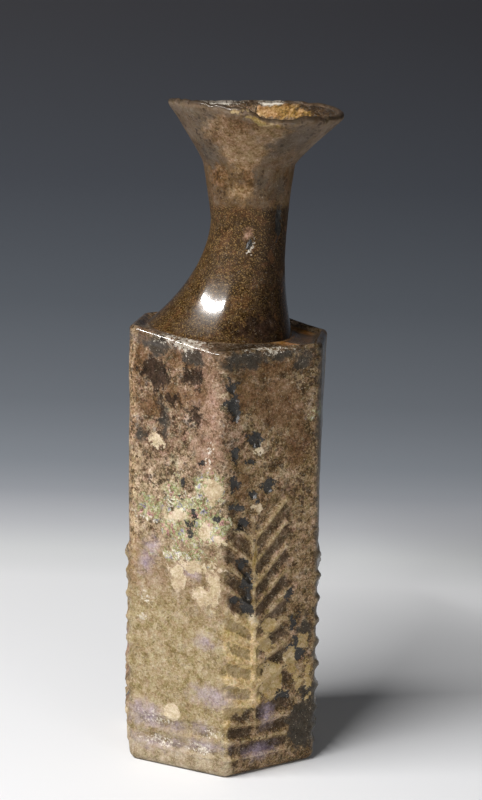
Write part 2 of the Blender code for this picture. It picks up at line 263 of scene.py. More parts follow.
# %% Lights
AIM = Vector((0.0, 0.0, 0.10))
LAMPS = (
    # name, place, width, height, roll in degrees, power, spread in degrees, colour
    ("key", (-0.50, -0.42, 0.78), 0.82, 0.045, 4, 10.2, 150, (1.0, 0.98, 0.96)),
    ("card", (0.55, -0.80, 0.12), 0.40, 0.30, 0, 2.2, 150, (1.0, 0.99, 0.97)),
)
WORLD_COLOUR = (0.62, 0.66, 0.74, 1.0)
WORLD_STRENGTH = 0.045


def make_lamp(name, place, width, height, roll, power, spread, colour):
    data = bpy.data.lights.new(name, "AREA")
    data.shape = "RECTANGLE"
    data.size = width
    data.size_y = height
    data.energy = power
    data.spread = math.radians(spread)
    data.color = colour
    lamp = bpy.data.objects.new(name, data)
    bpy.context.scene.collection.objects.link(lamp)
    lamp.location = place
    turn = Quaternion((0, 0, 1), math.radians(roll))
    lamp.rotation_euler = ((AIM - lamp.location).to_track_quat("-Z", "Y") @ turn).to_euler()


def make_world():
    world = bpy.data.worlds.new("studio")
    world.use_nodes = True
    ground = world.node_tree.nodes["Background"]
    ground.inputs["Color"].default_value = WORLD_COLOUR
    ground.inputs["Strength"].default_value = WORLD_STRENGTH
    bpy.context.scene.world = world
    bpy.context.scene.view_settings.view_transform = "Standard"


for lamp in LAMPS:
    make_lamp(*lamp)
make_world()
print("lamps", len(LAMPS))

# %% [markdown]
# ## The sizes of the glass
# These are the sizes that the solid has, in metres. A column of the bottle is a place around it: on the
# flat of a panel, or on the round of a corner. A ring is a place along the glass, from the middle of the
# underside up the outside, over the lip and down the inside to the inner floor.

# %% Sizes shared with the solid
SIDES = 6
SIDE_ANGLE = math.tau / SIDES
HALF_SIDE = SIDE_ANGLE / 2
NEAR_CORNER = -math.pi / 2

FOOT_RADIUS = 0.0355
TOP_RADIUS = 0.0361
BODY_HEIGHT = 0.1425
FOOT_TURN = math.radians(4.2)
TOP_TURN = math.radians(-4.5)
FOOT_CORNER_ROUND = 0.0032
TOP_CORNER_ROUND = 0.0046
FOOT_ROUND = 0.0028
WALL = 0.0024
FLOOR_THICKNESS = 0.0042
INNER_FOOT_ROUND = 0.0050
LEAST_CORNER_ROUND = 0.0006

RIM_RISES = (-0.0002, 0.0005, -0.0014, 0.0030, 0.0014, 0.0037)
RIM_BLEND = 0.022
RIM_BEAD = 0.0015
SHOULDER_DROP = 0.0013
SHOULDER_INSET = 0.0036
SHOULDER_WALL = 0.0023

ROOT_RISE = 0.0008
FLARE_LENGTH = 0.0357
COLLAR_LENGTH = 0.0186
FUNNEL_LENGTH = 0.0177
ROOT_RADIUS = 0.0237
THROAT_RADIUS = 0.0124
KNEE_RADIUS = 0.0149
LIP_RADIUS = 0.0289
ROOT_SHIFT = -0.0033
THROAT_SHIFT = 0.0051
KNEE_SHIFT = 0.0046
LIP_SHIFT = 0.0064
FLARE_POWER = 2.05
SHIFT_POWER = 1.6
COLLAR_POWER = 1.25
FUNNEL_POWER = 1.12
FILLET_POWER = 1.5
ROOT_SLOPE = -0.060
NECK_WALL = 0.0021
ROOT_WALL = 0.0029
LIP_WALL = 0.0024
LIP_FALL_RIGHT = 0.00135
LIP_FALL_BACK = 0.0009
LIP_WARP = 0.0011

ROOT_HEIGHT = BODY_HEIGHT + ROOT_RISE
THROAT_HEIGHT = ROOT_HEIGHT + FLARE_LENGTH
KNEE_HEIGHT = THROAT_HEIGHT + COLLAR_LENGTH
LIP_HEIGHT = KNEE_HEIGHT + FUNNEL_LENGTH

# %% How finely the glass is divided
FRONT_FLAT = 48
OTHER_FLAT = 27
CORNER_STEPS = 5
RING_DIVISIONS = 19
RINGS = RING_DIVISIONS**2 + 1
FRONT_PANELS = (0, SIDES - 1)


def mix(start, end, share):
    return start + (end - start) * share


def ease(share):
    share = np.clip(share, 0, 1)
    return share * share * (3 - 2 * share)


def ridge(distance, half_width):
    """One on a ridge's crest, nothing past its sides, rounded on top."""
    return ease(1 - np.abs(distance) / half_width)


def make_columns():
    """For each column: its panel, its share of the flat, its way out, and if it is on a corner's round."""
    rows = []
    for panel in range(SIDES):
        for step in range(1, CORNER_STEPS):
            bend = 2 * step / CORNER_STEPS - 1
            rows.append((panel, bend, panel * SIDE_ANGLE + bend * HALF_SIDE, True))
        flat = FRONT_FLAT if panel in FRONT_PANELS else OTHER_FLAT
        for step in range(flat + 1):
            rows.append((panel, 2 * step / flat - 1, (panel + 0.5) * SIDE_ANGLE, False))
    return [np.array(column) for column in zip(*rows)]


PANEL, SHARE, OUT_ANGLE, ON_CORNER = make_columns()
COLUMNS = len(PANEL)
print("columns", COLUMNS, "rings", RINGS, "triangles about", 2 * COLUMNS * RINGS)

# %% [markdown]
# ## The plan of the body
# A mould of six plates gives a hexagon with rounded corners. It turns a little between the foot and the rim,
# because the soft glass was twisted as it left the mould. Every column finds its place on that plan by
# formula, so the fine surface lies on the solid.


# %% Plan of the body
def half_flat(radius, rounding):
    return radius * math.sin(HALF_SIDE) - rounding * math.tan(HALF_SIDE)


def body_plan(level):
    share = np.clip(level / BODY_HEIGHT, 0, 1)
    radius = mix(FOOT_RADIUS, TOP_RADIUS, share)
    rounding = mix(FOOT_CORNER_ROUND, TOP_CORNER_ROUND, share)
    return radius, rounding, mix(FOOT_TURN, TOP_TURN, share)


def plan_points(level, inset):
    """Places of all columns at a level, moved in by an inset: x, y and the way out."""
    radius, rounding, turn = body_plan(level)
    radius = radius - inset / math.cos(HALF_SIDE)
    rounding = np.maximum(rounding - inset, LEAST_CORNER_ROUND)
    out = NEAR_CORNER + OUT_ANGLE + turn
    along = SHARE * half_flat(radius, rounding)
    middle = radius * math.cos(HALF_SIDE)
    corner = NEAR_CORNER + PANEL * SIDE_ANGLE + turn
    hub = radius - rounding / math.cos(HALF_SIDE)
    ahead, aside = np.cos(out), np.sin(out)
    x = np.where(ON_CORNER, hub * np.cos(corner) + rounding * ahead, middle * ahead - along * aside)
    y = np.where(ON_CORNER, hub * np.sin(corner) + rounding * aside, middle * aside + along * ahead)
    return x, y, out


def rim_rise():
    """How far the rim stands off the body height at each column."""
    rises = np.array(RIM_RISES)
    here = rises[PANEL]
    after = rises[(PANEL + 1) % SIDES]
    return np.where(ON_CORNER, here, mix(here, after, (SHARE + 1) / 2))


RIM_RISE = rim_rise()


def level_height(level):
    return level + RIM_RISE * ease(1 - (BODY_HEIGHT - level) / RIM_BLEND)


def perimeter_place():
    """How far around the body each column is from the near corner, in millimetres, more to the right."""
    radius, rounding, _ = body_plan(BODY_HEIGHT / 2)
    half = half_flat(radius, rounding)
    arc = rounding * HALF_SIDE
    pitch = 2 * (half + arc)
    place = np.where(ON_CORNER, PANEL * pitch + SHARE * arc, (PANEL + 0.5) * pitch + SHARE * half)
    whole = SIDES * pitch
    return (place + whole / 2) % whole / MM - whole / 2 / MM


AROUND = perimeter_place()
print("around the body in mm:", round(AROUND.min(), 1), "to", round(AROUND.max(), 1))

# %% [markdown]
# ## Relief from the mould
# The right front panel carries a tree: a thin trunk with leaves as slanting ridges and deeper hollows
# between them. The left front one has posts and two steps. The side panels have leaves too, which make the
# small bumps on the outline. The rows of the surface lean along the leaves, as in the solid, so that each
# ridge follows whole edges of the mesh and stays crisp.

# %% Relief of the panels
RELIEF_RIDGE = 0.00060
RELIEF_HOLLOW = 0.00055
SIDE_RELIEF_RISE = 0.00050
STEP_RELIEF_SHARE = 0.6
FRAME_RIDGE = 0.00040
MOTIF_FOOT = 0.0062
STEP_PITCH = 0.0060
STEP_COUNT = 2
LEAF_PITCH = 0.0077
PLAIN_TOP = 0.0400
LEAN_START = 0.0110
LEAN_FULL = 0.0700
LEFT_LEAF_RISE = 0.0080
RIGHT_LEAF_RISE = 0.0130
SIDE_LEAF_RISE = 0.0085
TREE_SHIFT = -0.0062
TREE_REACH = 0.0115
TRUNK_WIDTH = 0.0030
POST_WIDTH = 0.0026
POST_LEFT = -0.0096
POST_RIGHT = 0.0050
LEAF_FADE = 0.0030
SIDE_LEAVES_TOP = 0.0720
TREE_TOP_FADE = 0.0120

LEAVES_LOW = MOTIF_FOOT + STEP_COUNT * STEP_PITCH
LEAVES_HIGH = LEAVES_LOW + int((BODY_HEIGHT - PLAIN_TOP - LEAVES_LOW) / LEAF_PITCH) * LEAF_PITCH


def lean_share(level):
    growing = np.clip((level - LEAN_START) / (LEAN_FULL - LEAN_START), 0, 1)
    return growing * ease((BODY_HEIGHT - level) / (BODY_HEIGHT - LEAVES_HIGH))


def tree_drop(along, half):
    left = LEFT_LEAF_RISE * (1 - (TREE_SHIFT - along) / (TREE_SHIFT + half))
    right = LEFT_LEAF_RISE - RIGHT_LEAF_RISE * (along - TREE_SHIFT) / TREE_REACH
    rest = (LEFT_LEAF_RISE - RIGHT_LEAF_RISE) * (half - along) / (half - TREE_SHIFT - TREE_REACH)
    return np.where(along < TREE_SHIFT, left, np.where(along < TREE_SHIFT + TREE_REACH, right, rest))


def side_drop(along, half):
    return SIDE_LEAF_RISE * (1 - np.abs(along) / half)


def no_drop(along, half):
    return 0 * along


def leaf_wave(level):
    """From 1 on a leaf's thin ridge to -1 in the hollow between two leaves."""
    pitch = np.where(level > LEAVES_LOW, LEAF_PITCH, STEP_PITCH)
    phase = ((level - LEAVES_LOW) / pitch) % 1
    nearest = np.minimum(phase, 1 - phase)
    wave = 1 - 2 * ease(nearest * 3)
    return np.where((level < MOTIF_FOOT) | (level > LEAVES_HIGH + LEAF_PITCH / 2), 0, wave)


def wave_depth(wave):
    return wave * np.where(wave > 0, RELIEF_RIDGE, RELIEF_HOLLOW)


def tree_relief(along, level, half):
    trunk = ridge(along - TREE_SHIFT, TRUNK_WIDTH / 2)
    trunk = trunk * np.clip((level - LEAVES_LOW) / STEP_PITCH + 1, 0, 1)
    reach = ease((TREE_SHIFT + TREE_REACH + LEAF_FADE - along) / LEAF_FADE)
    fading = ease((LEAVES_HIGH + LEAF_FADE - level) / TREE_TOP_FADE)
    return mix(wave_depth(leaf_wave(level)) * reach, RELIEF_RIDGE, trunk) * fading


def side_relief(along, level, half):
    trunk = ridge(along, TRUNK_WIDTH / 2) * (level > LEAVES_LOW)
    proud = SIDE_RELIEF_RISE * ease((level - MOTIF_FOOT) / LEAF_PITCH)
    fading = ease((SIDE_LEAVES_TOP - level) / LEAF_PITCH + 1)
    return (mix(wave_depth(leaf_wave(level)), RELIEF_RIDGE, trunk) + proud) * fading


def posts_relief(along, level, half, posts):
    inside = ease((half - np.abs(along)) / LEAF_FADE)
    steps = wave_depth(leaf_wave(level)) * inside * STEP_RELIEF_SHARE
    standing = FRAME_RIDGE * sum(ridge(along - post, POST_WIDTH / 2) for post in posts)
    top = ease((LEAVES_HIGH - level) / LEAF_FADE)
    return np.where(level <= LEAVES_LOW, steps, standing * top)


def niche_relief(along, level, half):
    return posts_relief(along, level, half, (POST_LEFT, POST_RIGHT))


def back_relief(along, level, half):
    return posts_relief(along, level, half, (0.0,))


PANELS = (
    (tree_drop, tree_relief),
    (side_drop, side_relief),
    (no_drop, back_relief),
    (side_drop, side_relief),
    (side_drop, side_relief),
    (no_drop, niche_relief),
)


def relief_and_drop(level):
    """Relief and drop of one ring at all columns: corners take the mean of their two panels."""
    radius, rounding, _ = body_plan(level)
    half = half_flat(radius, rounding)
    along = SHARE * half
    relief = np.zeros(COLUMNS)
    drop = np.zeros(COLUMNS)
    level = np.full(COLUMNS, level)
    for number, (drop_of, relief_of) in enumerate(PANELS):
        mine = (PANEL == number) & ~ON_CORNER
        relief[mine] = relief_of(along[mine], level[mine], half)
        drop[mine] = drop_of(along[mine], half)
        corner = (PANEL == number) & ON_CORNER
        before = PANELS[number - 1][1](np.array([half]), level[:1], half)
        after = relief_of(np.array([-half]), level[:1], half)
        relief[corner] = mix(before, after, (SHARE[corner] + 1) / 2)
    return relief, drop * lean_share(level)


# %% [markdown]
# ## The rings of the glass
# Each ring is worked out once as a row of points: the underside, the rounded foot, the walls, the rim's
# bead, the shoulder, the neck, the broken lip, the bore and the inside of the body. The neck was drawn out
# by hand, so its middle wanders to the right as it rises and its lip is warped.

# %% Rings of the body
UNDERSIDE_SHARES = (0.0, 0.3, 0.6, 0.85)
INNER_FLOOR_SHARES = (0.7, 0.4, 0.0)


def body_ring(level, inset, fall):
    x, y, _ = plan_points(level, inset)
    return np.stack([x, y, level_height(level) - fall], 1)


def underside_rings(shares):
    rim = body_ring(0.0, FOOT_ROUND, 0.0)
    return [rim * (share, share, 0) for share in shares]


def quarter_turn(radius, step, steps):
    """How far a rounded edge has come in and up at one of its steps."""
    angle = math.pi / 2 * step / steps
    return radius * (1 - math.cos(angle)), radius * (1 - math.sin(angle))


def foot_rings(steps):
    rings = []
    for step in range(steps):
        up, inset = quarter_turn(FOOT_ROUND, step, steps)
        rings.append(body_ring(up, inset, 0.0))
    return rings


def wall_ring(level):
    x, y, out = plan_points(level, 0.0)
    relief, drop = relief_and_drop(level)
    return np.stack([x + relief * np.cos(out), y + relief * np.sin(out), level_height(level) - drop], 1)


def rim_rings(steps):
    rings = []
    for step in range(1, steps + 1):
        inset, fall = quarter_turn(RIM_BEAD, step, steps)
        rings.append(body_ring(BODY_HEIGHT, inset, fall))
    for step in range(1, steps + 1):
        share = step / steps
        inset = mix(RIM_BEAD, SHOULDER_INSET, share)
        rings.append(body_ring(BODY_HEIGHT, inset, SHOULDER_DROP * ease(share)))
    return rings


def inside_rings(steps):
    under = SHOULDER_DROP + SHOULDER_WALL
    rings = [body_ring(BODY_HEIGHT, SHOULDER_INSET, under)]
    rings.append(body_ring(BODY_HEIGHT, WALL, under + SHOULDER_WALL))
    top = BODY_HEIGHT - under - SHOULDER_WALL
    bottom = FLOOR_THICKNESS + INNER_FOOT_ROUND
    rings += [body_ring(mix(top, bottom, step / steps), WALL, 0.0) for step in range(1, steps + 1)]
    for step in range(1, CORNER_STEPS):
        angle = math.pi / 2 * step / (CORNER_STEPS - 1)
        level = bottom - INNER_FOOT_ROUND * math.sin(angle)
        rings.append(body_ring(level, WALL + INNER_FOOT_ROUND * (1 - math.cos(angle)), 0.0))
    last = rings[-1]
    rings += [last * (share, share, 1) for share in INNER_FLOOR_SHARES]
    return rings


# %% Rings of the neck
CHIP_ANGLE = math.radians(-76)
CHIP_HALF_WIDTH = math.radians(19)
CHIP_DEPTH = 0.0021
CHIP_STEEP = 1.6
CHIP_RAGGED = 0.9
NIBBLE_DEPTH = 0.0007
FINE_NIBBLES = 0.35
BREAK_START = 0.72
SLOPE_STEP = 0.0004


def neck_section(height):
    if height < THROAT_HEIGHT:
        share = max(THROAT_HEIGHT - height, 0) / FLARE_LENGTH
        radius = mix(THROAT_RADIUS, ROOT_RADIUS, share**FLARE_POWER)
        return radius, mix(THROAT_SHIFT, ROOT_SHIFT, share**SHIFT_POWER)
    if height < KNEE_HEIGHT:
        share = (height - THROAT_HEIGHT) / COLLAR_LENGTH
        return mix(THROAT_RADIUS, KNEE_RADIUS, share**COLLAR_POWER), mix(THROAT_SHIFT, KNEE_SHIFT, share)
    share = min((height - KNEE_HEIGHT) / FUNNEL_LENGTH, 1)
    return mix(KNEE_RADIUS, LIP_RADIUS, share**FUNNEL_POWER), mix(KNEE_SHIFT, LIP_SHIFT, share)


def neck_slope(height):
    below = max(ROOT_HEIGHT, height - SLOPE_STEP)
    above = min(LIP_HEIGHT, height + SLOPE_STEP)
    return (neck_section(above)[0] - neck_section(below)[0]) / (above - below)


def neck_angles():
    """Directions of the columns seen from above, as the body's plan gives them at the rim."""
    x, y, _ = plan_points(BODY_HEIGHT, SHOULDER_INSET)
    return np.arctan2(y, x)


ANGLES = neck_angles()


def noise_around(scale, seed):
    """A wavering value for each column, the same after a whole turn."""
    return np.array([noise.noise(Vector((math.cos(a) * scale, math.sin(a) * scale, seed))) for a in ANGLES])


def lip_break():
    """How much of the lip is gone at each column: one chip in front and small nibbles all round."""
    ragged = 1 + CHIP_RAGGED * noise_around(9, 3.0)
    inside = 1 - np.abs(ANGLES - CHIP_ANGLE) / CHIP_HALF_WIDTH
    nibbles = noise_around(11, 8.0) + FINE_NIBBLES * noise_around(31, 5.0)
    return CHIP_DEPTH * ease(inside * CHIP_STEEP) * ragged + NIBBLE_DEPTH * np.clip(nibbles, 0, 1)


LIP_BREAK = lip_break()


def neck_ring(height, depth):
    radius, shift = neck_section(height)
    slope = neck_slope(height)
    lean = math.hypot(1, slope)
    across = (radius - depth / lean) * np.cos(ANGLES)
    deep = (radius - depth / lean) * np.sin(ANGLES)
    lower = max((THROAT_HEIGHT - height) / FLARE_LENGTH, 0) ** 2
    upper = max((height - KNEE_HEIGHT) / FUNNEL_LENGTH, 0)
    wave = -LIP_FALL_RIGHT * np.cos(ANGLES) - LIP_FALL_BACK * np.sin(ANGLES) + LIP_WARP * np.sin(2 * ANGLES)
    gone = ease((upper - BREAK_START) / (1 - BREAK_START))
    lift = ROOT_SLOPE * across * lower + wave * upper - LIP_BREAK * gone
    return np.stack([shift + across, deep, height + depth * slope / lean + lift], 1)


def neck_rows(flare, collar, funnel):
    rows = [mix(ROOT_HEIGHT, THROAT_HEIGHT, row / flare) for row in range(flare)]
    rows += [mix(THROAT_HEIGHT, KNEE_HEIGHT, row / collar) for row in range(collar)]
    rows += [mix(KNEE_HEIGHT, LIP_HEIGHT - LIP_WALL / 2, row / funnel) for row in range(funnel + 1)]
    return rows


def lip_rings(steps):
    """The lip's rounded crest, from the outside over to the inside."""
    rings = []
    for step in range(1, steps):
        angle = math.pi * step / steps
        height = LIP_HEIGHT - LIP_WALL / 2 * (1 - math.sin(angle))
        rings.append(neck_ring(height, LIP_WALL / 2 * (1 - math.cos(angle))))
    return rings


def shoulder_rings(steps):
    """From the rim's foot across the shoulder to the neck's root, with a soft fillet."""
    edge = body_ring(BODY_HEIGHT, SHOULDER_INSET, SHOULDER_DROP)
    root = neck_ring(ROOT_HEIGHT, 0.0)
    shares = [step / steps for step in range(1, steps)]
    return [mix(edge, root, np.array([share, share, share**FILLET_POWER])) for share in shares]


# %% [markdown]
# ## Blowing the bottle
# A glassblower starts from a plain tube of hot glass and blows it against the mould. The model is made the
# same way: a cylinder primitive is added, its long edges are subdivided twice in edit mode, and then each
# point is moved from its place on the tube to its place on the mould's wall. Starting from a regular tube
# keeps every face a clean quad, which a boolean or a remesh would not.

# %% Tube, blown to shape
TUBE_RADIUS = 0.03
TUBE_LENGTH = 0.60


def all_rings():
    start = underside_rings(UNDERSIDE_SHARES) + foot_rings(6)
    rim = rim_rings(5)
    shoulder = shoulder_rings(6)
    outer_neck = [neck_ring(height, 0.0) for height in neck_rows(36, 16, 24)]
    lip = lip_rings(6)
    bore = [neck_ring(height, NECK_WALL) for height in reversed(neck_rows(12, 8, 14)[1:])]
    bore.append(neck_ring(ROOT_HEIGHT, ROOT_WALL))
    inside = inside_rings(10)
    walls = RINGS - len(start + rim + shoulder + outer_neck + lip + bore + inside)
    levels = np.linspace(FOOT_ROUND, BODY_HEIGHT - RIM_BEAD, walls)
    outside = start + [wall_ring(level) for level in levels] + rim + shoulder + outer_neck + lip
    print("wall rings", walls, "each", round((levels[1] - levels[0]) / MM, 2), "mm")
    relief = np.zeros((RINGS, COLUMNS))
    relief[len(start):len(start) + walls] = [relief_and_drop(level)[0] for level in levels]
    rim_end = len(start) + walls + len(rim)
    ends = (rim_end, rim_end + len(shoulder), len(outside))
    return np.array(outside + bore + inside), relief / RELIEF_RIDGE, ends


def along_tube(one, other):
    return abs(one.z - other.z) > TUBE_LENGTH / RINGS / 2


def blow_tube():
    """A cylinder with the rings and columns of the bottle, open at both ends."""
    deselect_all()
    bpy.ops.mesh.primitive_cylinder_add(
        vertices=COLUMNS, radius=TUBE_RADIUS, depth=TUBE_LENGTH, end_fill_type="NOTHING",
        location=(0, 0, TUBE_LENGTH / 2),
    )
    tube = bpy.context.active_object
    bpy.ops.object.transform_apply(location=True, rotation=True, scale=True)
    for _ in range(2):
        select_edges(tube, along_tube)
        bpy.ops.mesh.subdivide(number_cuts=RING_DIVISIONS - 1)
        bpy.ops.object.mode_set(mode="OBJECT")
    return tube


def tube_places(tube):
    """The ring and the column of every point of the tube."""
    points = np.zeros(len(tube.data.vertices) * 3)
    tube.data.vertices.foreach_get("co", points)
    points = points.reshape(-1, 3)
    ring = np.rint(points[:, 2] / TUBE_LENGTH * (RINGS - 1)).astype(int)
    angle = (np.arctan2(points[:, 1], points[:, 0]) - NEAR_CORNER) % math.tau
    column = np.rint(angle / math.tau * COLUMNS).astype(int) % COLUMNS
    return ring, column


SURFACE, RELIEF, RING_ENDS = all_rings()
RIM_END, NECK_START, OUTSIDE_RINGS = RING_ENDS
bottle = blow_tube()
bottle.name = "blown_bottle"
bottle.data.name = "blown_bottle"
RING_OF, COLUMN_OF = tube_places(bottle)
print("points", len(RING_OF), "of", RINGS * COLUMNS, "surface", SURFACE.shape)

# %% [markdown]
# ## Weather on the surface
# Buried glass swells, pits and flakes. Each kind of weathering has places on the panels, written here as
# spots: how far around from the near corner, how high, and half their width and height, all in millimetres.
# A field says how deep inside its spots each point lies, and noise in the material later frays the edges.
# Zones, such as the dark side or the smooth neck, are fields too, from 0 to 1.
# Some spots and zones are painted light, not weathering: a highlight along the rim, glints on the lip, a
# glow on the shoulder, a lit patch inside, and shade on the neck and in the shoulder's recess.

# %% Places of the weathering on the body, and of painted light
FAR = 6.0
BARE_SPOTS = (
    (4.2, 124.6, 2.2, 4.6), (3.4, 131.6, 1.6, 2.2), (12.2, 113.4, 2.7, 2.4), (4.8, 108.8, 1.5, 1.9),
    (10.2, 106.4, 1.7, 1.3), (3.9, 99.2, 2.2, 2), (16.6, 97.6, 1.8, 2.4), (11.6, 94.4, 1.5, 1.7),
    (5.7, 91.4, 2.6, 1.7), (7.6, 85.6, 2.4, 1.7), (7.3, 71.6, 2, 2.4), (9.8, 66.2, 2.6, 3.4),
    (8.9, 58.4, 2.3, 3.6), (5, 60.5, 1.6, 1.5), (27.8, 40.6, 3.6, 4.2), (20.3, 25.9, 3.8, 2),
    (-14.3, 97.8, 0.9, 2.2), (-10.1, 88.4, 1.8, 1.6), (-11.7, 83.4, 1, 2.6), (-15.2, 92.4, 1, 0.9),
    (-1.8, 88.1, 1.3, 1.3), (-7, 105.5, 1.3, 1), (24, 60, 1.5, 2.2), (26.5, 50, 1.2, 2.6),
)
STAIN_SPOTS = (
    (-25.4, 132.2, 5.4, 5.6), (-10.2, 133.6, 3, 3.8), (-9.2, 120.8, 1.8, 3), (-18.5, 124.5, 3.6, 1.8),
    (-22.5, 121.5, 1.4, 5.6),
)
SLATE_SPOTS = (
    (8, 139.2, 8, 2.6), (22.5, 140.4, 8.5, 1.6), (28.4, 137, 3.6, 2.6), (-23, 141, 5.6, 2.6),
    (-10, 139.6, 3.6, 2.6), (-21.4, 116, 1.5, 4.4), (-30.4, 111.2, 1.7, 2.2), (31, 13.4, 6.4, 8.6),
    (32.6, 24, 3.6, 5), (30.8, 46.5, 2, 5),
)
FLAKE_SPOTS = (
    (-16.4, 65.8, 3.1, 3.8), (-3.2, 65.4, 1.7, 6.4), (-7.4, 61.2, 3.4, 3.4), (-9.6, 70.4, 7.4, 1.5),
    (-6, 82.8, 2.6, 2.4), (-3, 97, 3.2, 4.2), (-16.3, 86.4, 4.6, 2), (-1, 80.6, 2, 1.2),
    (13.6, 110.4, 1.7, 1.5), (13, 91, 1.4, 1.4), (-24.6, 110.2, 2.8, 1.7), (11.4, 54.5, 1, 1.6),
)
CRUST_SPOTS = (
    (17.4, 50.6, 3, 2.5), (15.8, 44.2, 2.6, 3.8), (25.4, 37.2, 2.5, 4.4), (30.3, 42.8, 1.7, 3),
    (17.6, 30.6, 4.2, 6.8), (12.2, 76, 0.9, 8), (28.5, 29, 1.4, 3.2), (32.6, 30, 1.2, 7),
)
SHIMMER_SPOTS = (
    (-26.6, 87.6, 6.2, 3.8), (-16.6, 83.5, 7.2, 6), (-4.6, 97.2, 5.6, 7), (-4, 85.6, 6.4, 6),
    (-17.2, 93.4, 3.2, 4.6), (-13, 74, 8, 2), (-9, 90.5, 6, 4),
)
BLUSH_SPOTS = (
    (-5, 128, 4.6, 10), (-4, 118, 4.4, 8), (-5.4, 108.4, 5.6, 6.4), (-10, 141, 6, 2.2),
)
LILAC_SPOTS = (
    (-29.2, 17.8, 5, 3.2), (-3.6, 27.6, 6.4, 2.6), (-17.4, 14.4, 2.2, 1.3), (-8, 16.2, 1.8, 1.4),
    (-27.6, 14.2, 4.6, 0.9), (-26.4, 7.8, 5.6, 1.2), (-17.6, 9.2, 2.8, 1.1), (-7, 10.6, 5, 1.6),
    (16.8, 19.8, 1.7, 2.6), (13.8, 7.4, 3.4, 1.6), (-6.8, 46, 2, 1.6), (-29, 69, 2, 2.4),
    (-12, 69, 2.4, 1.6), (-26, 75, 1.6, 1.8),
)
RUST_SPOTS = (
    (-17, 126.5, 6, 3.4), (-8, 127.5, 3, 3.4), (-27, 121, 5, 3), (-14, 137, 5, 3),
    (-31, 136, 3, 8), (9, 128, 5, 5), (20, 124, 9, 8), (7, 98, 3, 5),
    (27, 112, 4, 9), (15, 136, 14, 3),
)
FROST_THIN = 1.7
# White frost crust in specks and scribbles. The two long spots near 143 mm, on the rim's top edges, are a
# painted highlight along the rim.
FROST_AND_RIM_HIGHLIGHT_SPOTS = (
    (-16.2, 73.6, 8, 1.9), (-25, 16.4, 7, 2.3), (-8, 9.4, 6, 2.6), (-24, 9, 8, 2.3),
    (-28, 84, 5, 1.7), (-9, 94, 6, 1.8), (-19, 92, 2, 4), (-4, 108, 1.6, 5),
    (-28.5, 57.5, 3, 2.5), (-30, 50, 2.4, 2.5), (-13, 143.2, 14, 2.9), (-5, 14.8, 5, 1.9),
    (17, 142.6, 15, 1.9),
)
ROUND_SPOT = (-19.1, 19.6, 3, 3)
# painted light: the golden patch inside the funnel where light falls through it
AMBER_PAINTED_LIGHT_SPOTS = ((49, 212.4, 6, 2.6), (43, 212, 4, 1.2))

# %% Places of the weathering on the neck and the lip, and of painted glints
# Across, these are in degrees from the near side. Heights on the lip are counted from its top.
NECK_BARE = ((2.4, 173.2, 5, 1.4), (50, 179.7, 6, 4.6))
NECK_RUST = ((-44, 194.5, 17, 3.8), (-12, 212, 14, 2.6), (-2, 194, 9, 2.2), (-30, 207, 12, 3))
NECK_STAIN = ((34, 147, 22, 3), (170, 160, 40, 9))
NECK_SMOKE = (
    (24, 207, 20, 5), (-38, 212, 9, 2.4), (42, 208, 12, 4), (40, 191, 12, 4),
    (-52, 201, 14, 5), (14, 193, 12, 3),
)
NECK_TAWNY = ((-22, 209, 20, 5.5), (-8, 203, 22, 6.5), (10, 210.5, 14, 3.5), (-10, 190, 16, 3))
NECK_BLUSH = ((-0.7, 177.3, 5, 1.5),)
NECK_FROST = ((4.5, 172.4, 2, 0.9),)
LIP_CRUST = ((1, -2.2, 7, 0.7), (-10, -1.2, 4, 0.6))
# painted glints: white spots on the far lip's edge, counted from the lip's top
LIP_PAINTED_GLINTS = ((-152, 0, 13, 1.5), (170, 0, 9, 1.5))
HIDDEN_AROUND = (40, 104)
HIDDEN_HEIGHTS = (8, 136)


def spot_field(around, height, spots):
    """Millimetres inside the nearest spot, or outside it below zero."""
    field = np.full(around.shape, -FAR)
    for place, level, half_width, half_height in spots:
        reach = np.hypot((around - place) / half_width, (height - level) / half_height)
        field = np.maximum(field, (1 - reach) * min(half_width, half_height))
    return field


def scattered(seed, count, widths, heights):
    """Spots on the sides that the photograph doesn't show, in the same manner, from a fixed seed."""
    random = np.random.default_rng(seed)
    spots = []
    for _ in range(count):
        side = random.choice((-1, 1))
        spots.append((
            side * random.uniform(*HIDDEN_AROUND), random.uniform(*HIDDEN_HEIGHTS),
            random.uniform(*widths), random.uniform(*heights),
        ))
    return tuple(spots)


# %% Where each point of the surface lies
NECK_MM_PER_DEGREE = 0.3
WARP = 1.5
WARP_SCALE = 330
PATCH_SCALE = 45
ROUGHER = 0.9
FINER = 2.1

RING_NUMBER = np.broadcast_to(np.arange(RINGS)[:, None], SURFACE.shape[:2])
ON_BODY = RING_NUMBER < NECK_START
ON_NECK = (RING_NUMBER >= NECK_START) & (RING_NUMBER < OUTSIDE_RINGS)
INSIDE = RING_NUMBER >= OUTSIDE_RINGS
ON_SHOULDER = (RING_NUMBER >= RIM_END) & ON_BODY
HEIGHT = SURFACE[:, :, 2] / MM
BELOW_LIP = HEIGHT - HEIGHT.max(axis=0)
NECK_AROUND = NECK_MM_PER_DEGREE * ((np.degrees(ANGLES - NEAR_CORNER) + 180) % 360 - 180)


def noise_over(surface, scale, seed, octaves):
    """Fractal noise at every point of the surface."""
    shift = Vector((seed, seed / 2, -seed))
    flat = surface.reshape(-1, 3) * scale
    values = [noise.fractal(Vector(point) + shift, ROUGHER, FINER, octaves) for point in flat]
    return np.array(values).reshape(surface.shape[:2])


WARP_SIDE = WARP * noise_over(SURFACE, WARP_SCALE, 3.0, 3)
WARP_UP = WARP * noise_over(SURFACE, WARP_SCALE, 17.0, 3)
PATCH = noise_over(SURFACE, PATCH_SCALE, 27.0, 3)
BODY_PLACE = AROUND + WARP_SIDE
NECK_PLACE = NECK_AROUND + WARP_SIDE
LEVEL = HEIGHT + WARP_UP
print("lip in mm, lowest and highest:", np.round([(HEIGHT - BELOW_LIP).min(), HEIGHT.max()], 1))

